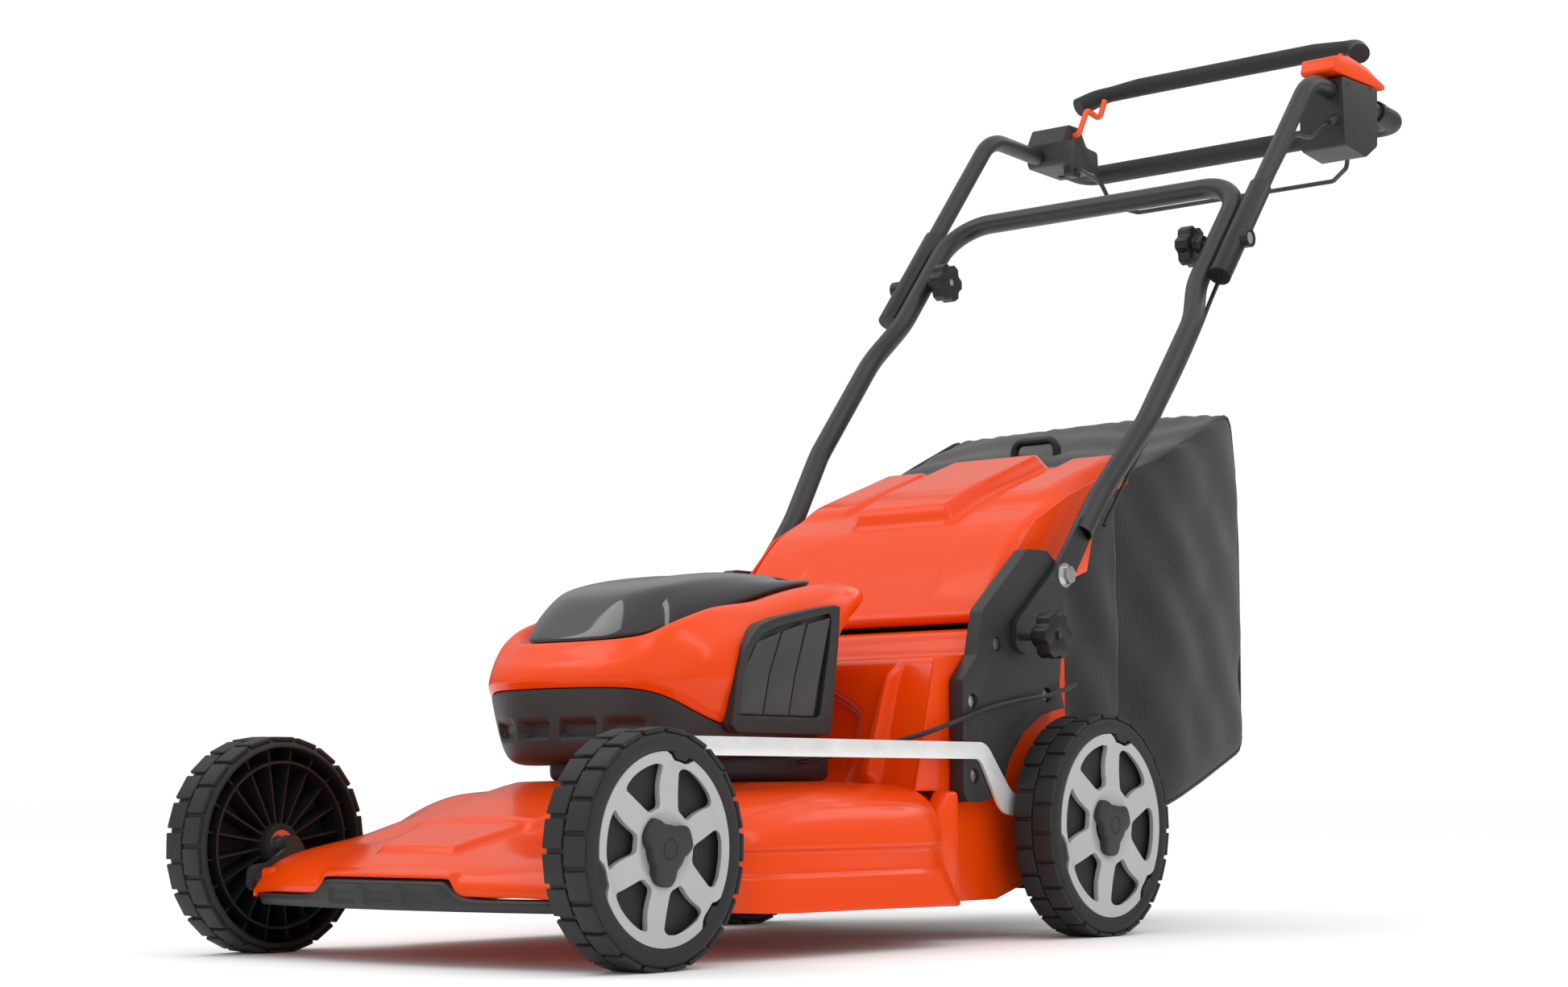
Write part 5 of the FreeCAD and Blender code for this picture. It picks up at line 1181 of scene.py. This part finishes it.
def makeGrip():
    # Foam over the cross bar and round both of its corners, with a collar at each end.
    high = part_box("upper_handle")[1]
    gripY, gripZ = (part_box("grip_foam")[0].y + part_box("grip_foam")[1].y) * 500 - axleLine, \
        (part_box("grip_foam")[0].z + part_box("grip_foam")[1].z) * 500
    upperX = high.x * 1000 - grip["tubeRadius"]
    slope, reach = grip["slope"], grip["reach"]
    ends = (upperX, gripY - reach, gripZ - reach * slope)
    line = [ends, (upperX, gripY, gripZ), (-upperX, gripY, gripZ), (-ends[0], ends[1], ends[2])]
    path = roundedLine(line, grip["bend"], 12)
    tube("grip_sleeve", path, grip["sleeve"], "upper_handle", "foam", replaced=("grip_foam",),
         sides=28)
    makeBailGrip()
    makeScrews()
    for side in (1, -1):
        collar = [(side * upperX, ends[1] - 4, ends[2] - 4 * slope),
                  (side * upperX, ends[1] + 8, ends[2] + 8 * slope)]
        tube("grip_collar_" + sideName(side), collar, grip["collar"], "upper_handle", "foam",
             sides=28)


bailGrip = {"radius": 12.2, "endRadius": 10.6, "flare": 13.0}


def makeBailGrip():
    # Thick sleeve of the blade bail, arched down at its ends, with a thumb tab in the middle.
    low, high = boxOf("bail_grip")
    shape = bailGrip
    end = (high.x + 11, low.y - 4, low.z - 1.0)
    shoulder = (high.x - 8, high.y - 14, high.z - 13)
    crown = (high.x - 70, high.y - 9.5, high.z - 8.6)
    half = [end, shoulder, crown, (0, high.y - 9.0, high.z - 8.4)]
    line = roundedLine(half + [(-x, y, z) for x, y, z in reversed(half[:-1])], 60, 10)
    radii = []
    for spot in line:
        share = float(step(abs(spot.x), high.x - 70, high.x - 30))
        tip = float(step(abs(spot.x), high.x - 26, high.x + 8))
        radii.append(shape["radius"] + (shape["endRadius"] - shape["radius"]) * share
                     + (shape["flare"] - shape["endRadius"]) * tip)
    tube("bail_sleeve", line, shape["radius"], "blade_bail", "foam", replaced=("bail_grip",),
         sides=28,
         radii=radii)
    tab = [(high.y - 14, high.z - 4), (high.y - 3, high.z + 1.6), (high.y + 2.2, high.z - 1),
           (high.y + 1.5, high.z - 9),
           (high.y - 8, high.z - 9)]
    plate("bail_tab", tab, -34, 24, "blade_bail", "knob", 1.6)


def makeScrews():
    # Four sunk screw heads on the outer face of the control box.
    low, high = boxOf("control_box")
    middle = ((low.y + high.y) / 2 + 10, (low.z + high.z) / 2)
    for number, (y, z) in enumerate(((-34, 28), (26, 34), (-22, -30), (24, -24))):
        spot = (middle[0] + y, middle[1] + z)
        tube(f"box_screw_{number}", [(high.x - 3, *spot), (high.x + 0.25, *spot)], 3.2, "upper_handle",
             "gloss", sides=20)


bag = {"half": 198, "puff": 5, "wrinkle": 2.2, "seam": 2.1, "frontShare": 0.89, "baseEdge": 4.2}
bagOutline = [(140, 158), (140, 330), (140, 491), (196, 513), (290, 556), (372, 592), (388, 596), (396, 584),
              (404, 530),
              (408, 440), (407, 320), (404, 205), (396, 192), (310, 158), (232, 130), (214, 127)]
neckOutline = [(42, 196), (42, 432), (90, 464), (128, 486), (160, 499), (160, 160), (60, 194)]


def clothUv(mesh):
    # Each face laid flat in metres along the two directions it mostly faces across.
    layer = mesh.uv_layers.new(name="cloth")
    for polygon in mesh.polygons:
        normal = polygon.normal
        for loop in polygon.loop_indices:
            place = mesh.vertices[mesh.loops[loop].vertex_index].co
            if abs(normal.x) > 0.6:
                layer.data[loop].uv = (place.y, place.z)
            elif abs(normal.z) > abs(normal.y):
                layer.data[loop].uv = (place.x, place.y)
            else:
                layer.data[loop].uv = (place.x, place.z)


def bagShell(name, outline, half, puff, body, count=88):
    ring = resample(outline, count)
    middle = (sum(y for y, _ in ring) / count, sum(z for _, z in ring) / count)
    stations = [(0.04, half + puff), (0.3, half + puff), (0.55, half + puff * 0.85), (0.78, half + puff * 0.55),
                (0.92, half + 0.5), (0.975, half - 3), (0.995, half - 10), (1.0, half - 26), (1.006, half - 60),
                (1.012, half - 110), (1.014, half * 0.25), (1.014, 0)]
    stations = stations + [(scale, -x) for scale, x in reversed(stations[:-1])]
    rows = [[(x, middle[0] + scale * (y - middle[0]), middle[1] + scale * (z - middle[1])) for y, z in ring]
            for scale, x in stations]
    points, faces = lofted(rows, closed=True, caps=True)
    made = piece(name, points, faces, body, "cloth")
    subdivide(made, 2)
    baked(made)
    spots = coordinates(made.data)
    x, y, z = spots[:, 0].copy(), spots[:, 1].copy(), spots[:, 2].copy()
    away = np.stack([x / half * 0.9, (y - middle[0]) / 140, (z - middle[1]) / 200], 1)
    away /= np.linalg.norm(away, axis=1)[:, None] + 1e-9
    folds = (np.sin(x * 0.043 + 1.7 * np.sin(z * 0.021)) * np.sin(z * 0.037 + 0.9 * np.sin(y * 0.05))
             + 0.6 * np.sin(y * 0.071 + z * 0.05 + 2.1 * np.sin(x * 0.017)))
    gather = (np.exp(-((y - 390) / 34) ** 2 - ((z - 575) / 46) ** 2)
              * np.sin(x * 0.24 + 0.6 * np.sin(x * 0.07)) * 1.7)
    inside = step(z, middle[1] - 200, middle[1] - 140)
    spots += away * (bag["wrinkle"] * folds * inside + gather)[:, None]
    spots[:, 0] *= (bag["frontShare"] + (1 - bag["frontShare"]) * step(y, 132, 270) if half > 180
                    else 1 + 0.05 * step(y, 60, 135))
    setCoordinates(made.data, spots)
    return made


def makeBag():
    body = "grass_bag"
    main = bagShell("bag_body", bagOutline, bag["half"], bag["puff"], body)
    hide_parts("grass_bag")
    main.data.materials.append(finishes["topCloth"])
    for polygon in main.data.polygons:
        polygon.material_index = 1 if polygon.normal.z > 0.55 or polygon.normal.z < -0.6 else 0
    clothUv(main.data)
    neck = bagShell("bag_neck", neckOutline, 171, 0.5, body, 64)
    for polygon in neck.data.polygons:
        polygon.material_index = 0
    clothUv(neck.data)
    ring = resample(bagOutline, 140)
    middle = (sum(y for y, _ in ring) / 140, sum(z for _, z in ring) / 140)
    for side in (1, -1):
        seam = [(side * (bag["half"] - 6), middle[0] + 0.982 * (y - middle[0]),
                 middle[1] + 0.982 * (z - middle[1]))
                for y, z in ring]
        seam = [(x * (bag["frontShare"] + (1 - bag["frontShare"]) * float(step(y, 132, 270))), y, z) for x, y,
                z in seam]
        tube("bag_piping_" + sideName(side), seam, bag["seam"], body, "topCloth", sides=8,
             closed=True)
        rim = [(x * 0.995, y, z + 1.5) for x, y,
               z in seam if y > 225 and z < middle[1] - 0.6 * (middle[1] - 127)]
        rim.sort(key=lambda spot: spot[1])
        tube("bag_base_edge_" + sideName(side), rim, bag["baseEdge"], body, "knob", sides=12)


flap = {"half": 181, "humpHalf": 66}


def makeFlap():
    # Orange rear flap: bowed skin with a middle hump, raised pads beside it and side flanges.
    line = [(-109, 329), (-104, 333), (-92, 345), (-76, 367), (-52, 399), (-30, 423), (-18, 433.5), (-10, 440),
            (-5, 443),
            (0, 446), (6, 449.5), (14, 454), (24, 459), (32, 463), (40, 466.5), (50, 471), (60, 475.5),
            (100, 490),
            (140, 504), (170, 515), (188, 521.5)]
    half = flap["half"]
    columns = [0, 20, 40, 52, 56, 59, 63, 67, 71, 75, 84, 94, 98, 102, 106, 110, 122, 140, 154, 160, 165, 170,
               175, 178, 180, half, half]
    rows = []
    for y, z in line:
        row = []
        for number, x in enumerate(columns):
            lift = 0.0
            if y > -12:
                rise = float(step(y, -10, 6))
                lift += rise * 17.0 * float(1 - step(x, flap["humpHalf"] - 8, flap["humpHalf"] + 4))
                lift += 8.0 * float(step(x, 96, 106)) * float(1 - step(x, 158, 172)) * float(step(y, 24, 44))
            else:
                panel = float(1 - step(x, 92, 100)) * float(step(y, -84, -78)) * float(1 - step(y, -24, -18))
                lift -= 1.2 * panel
            fall = 9.0 * float(step(x, 166, half)) ** 1.5
            depth = 0 if number < len(columns) - 1 else 16
            row.append((x, y - lift * 0.42 + (fall + depth) * 0.5, z + lift * 0.9 - (fall + depth) * 0.85))
        rows.append(mirrored(row))
    points, faces = lofted(rows)
    skin = piece("flap_skin", points, faces, "rear_flap", "orange", replaced=("rear_flap",))
    subdivide(skin, 2)
    thicken(skin, 3.4)
    baked(skin)
    for side in (1, -1):
        wall = [(-106, 333), (-92, 342), (-52, 395), (-8, 438), (60, 471), (128, 497), (94, 389), (-84, 331),
                (-98, 322)]
        plate("flap_flange_" + sideName(side), wall, side * (half - 3.0), side * half, "rear_flap",
              "orange", 1)
    barrel = pivot("flap_hinge")
    tube("flap_barrel", [(-half, *barrel), (half, *barrel)], 6.8, "rear_flap", "orange",
         sides=24)


def main():
    print("materials")
    makeFinishes()
    print("studio")
    makeStudio()
    makeCamera()
    print("deck")
    makeDeck()
    print("housing")
    makeShell()
    makeBase()
    makeLid()
    makeVents()
    print("softened pieces")
    for node, (width, material, slot) in softCopies.items():
        softened(node, width, material)
    dressKept()
    print("wheels")
    for axle in ("front", "rear"):
        for side in (1, -1):
            makeWheel(axle, side)
    print("handle")
    makeGrip()
    print("flap")
    makeFlap()
    print("bag")
    makeBag()


main()
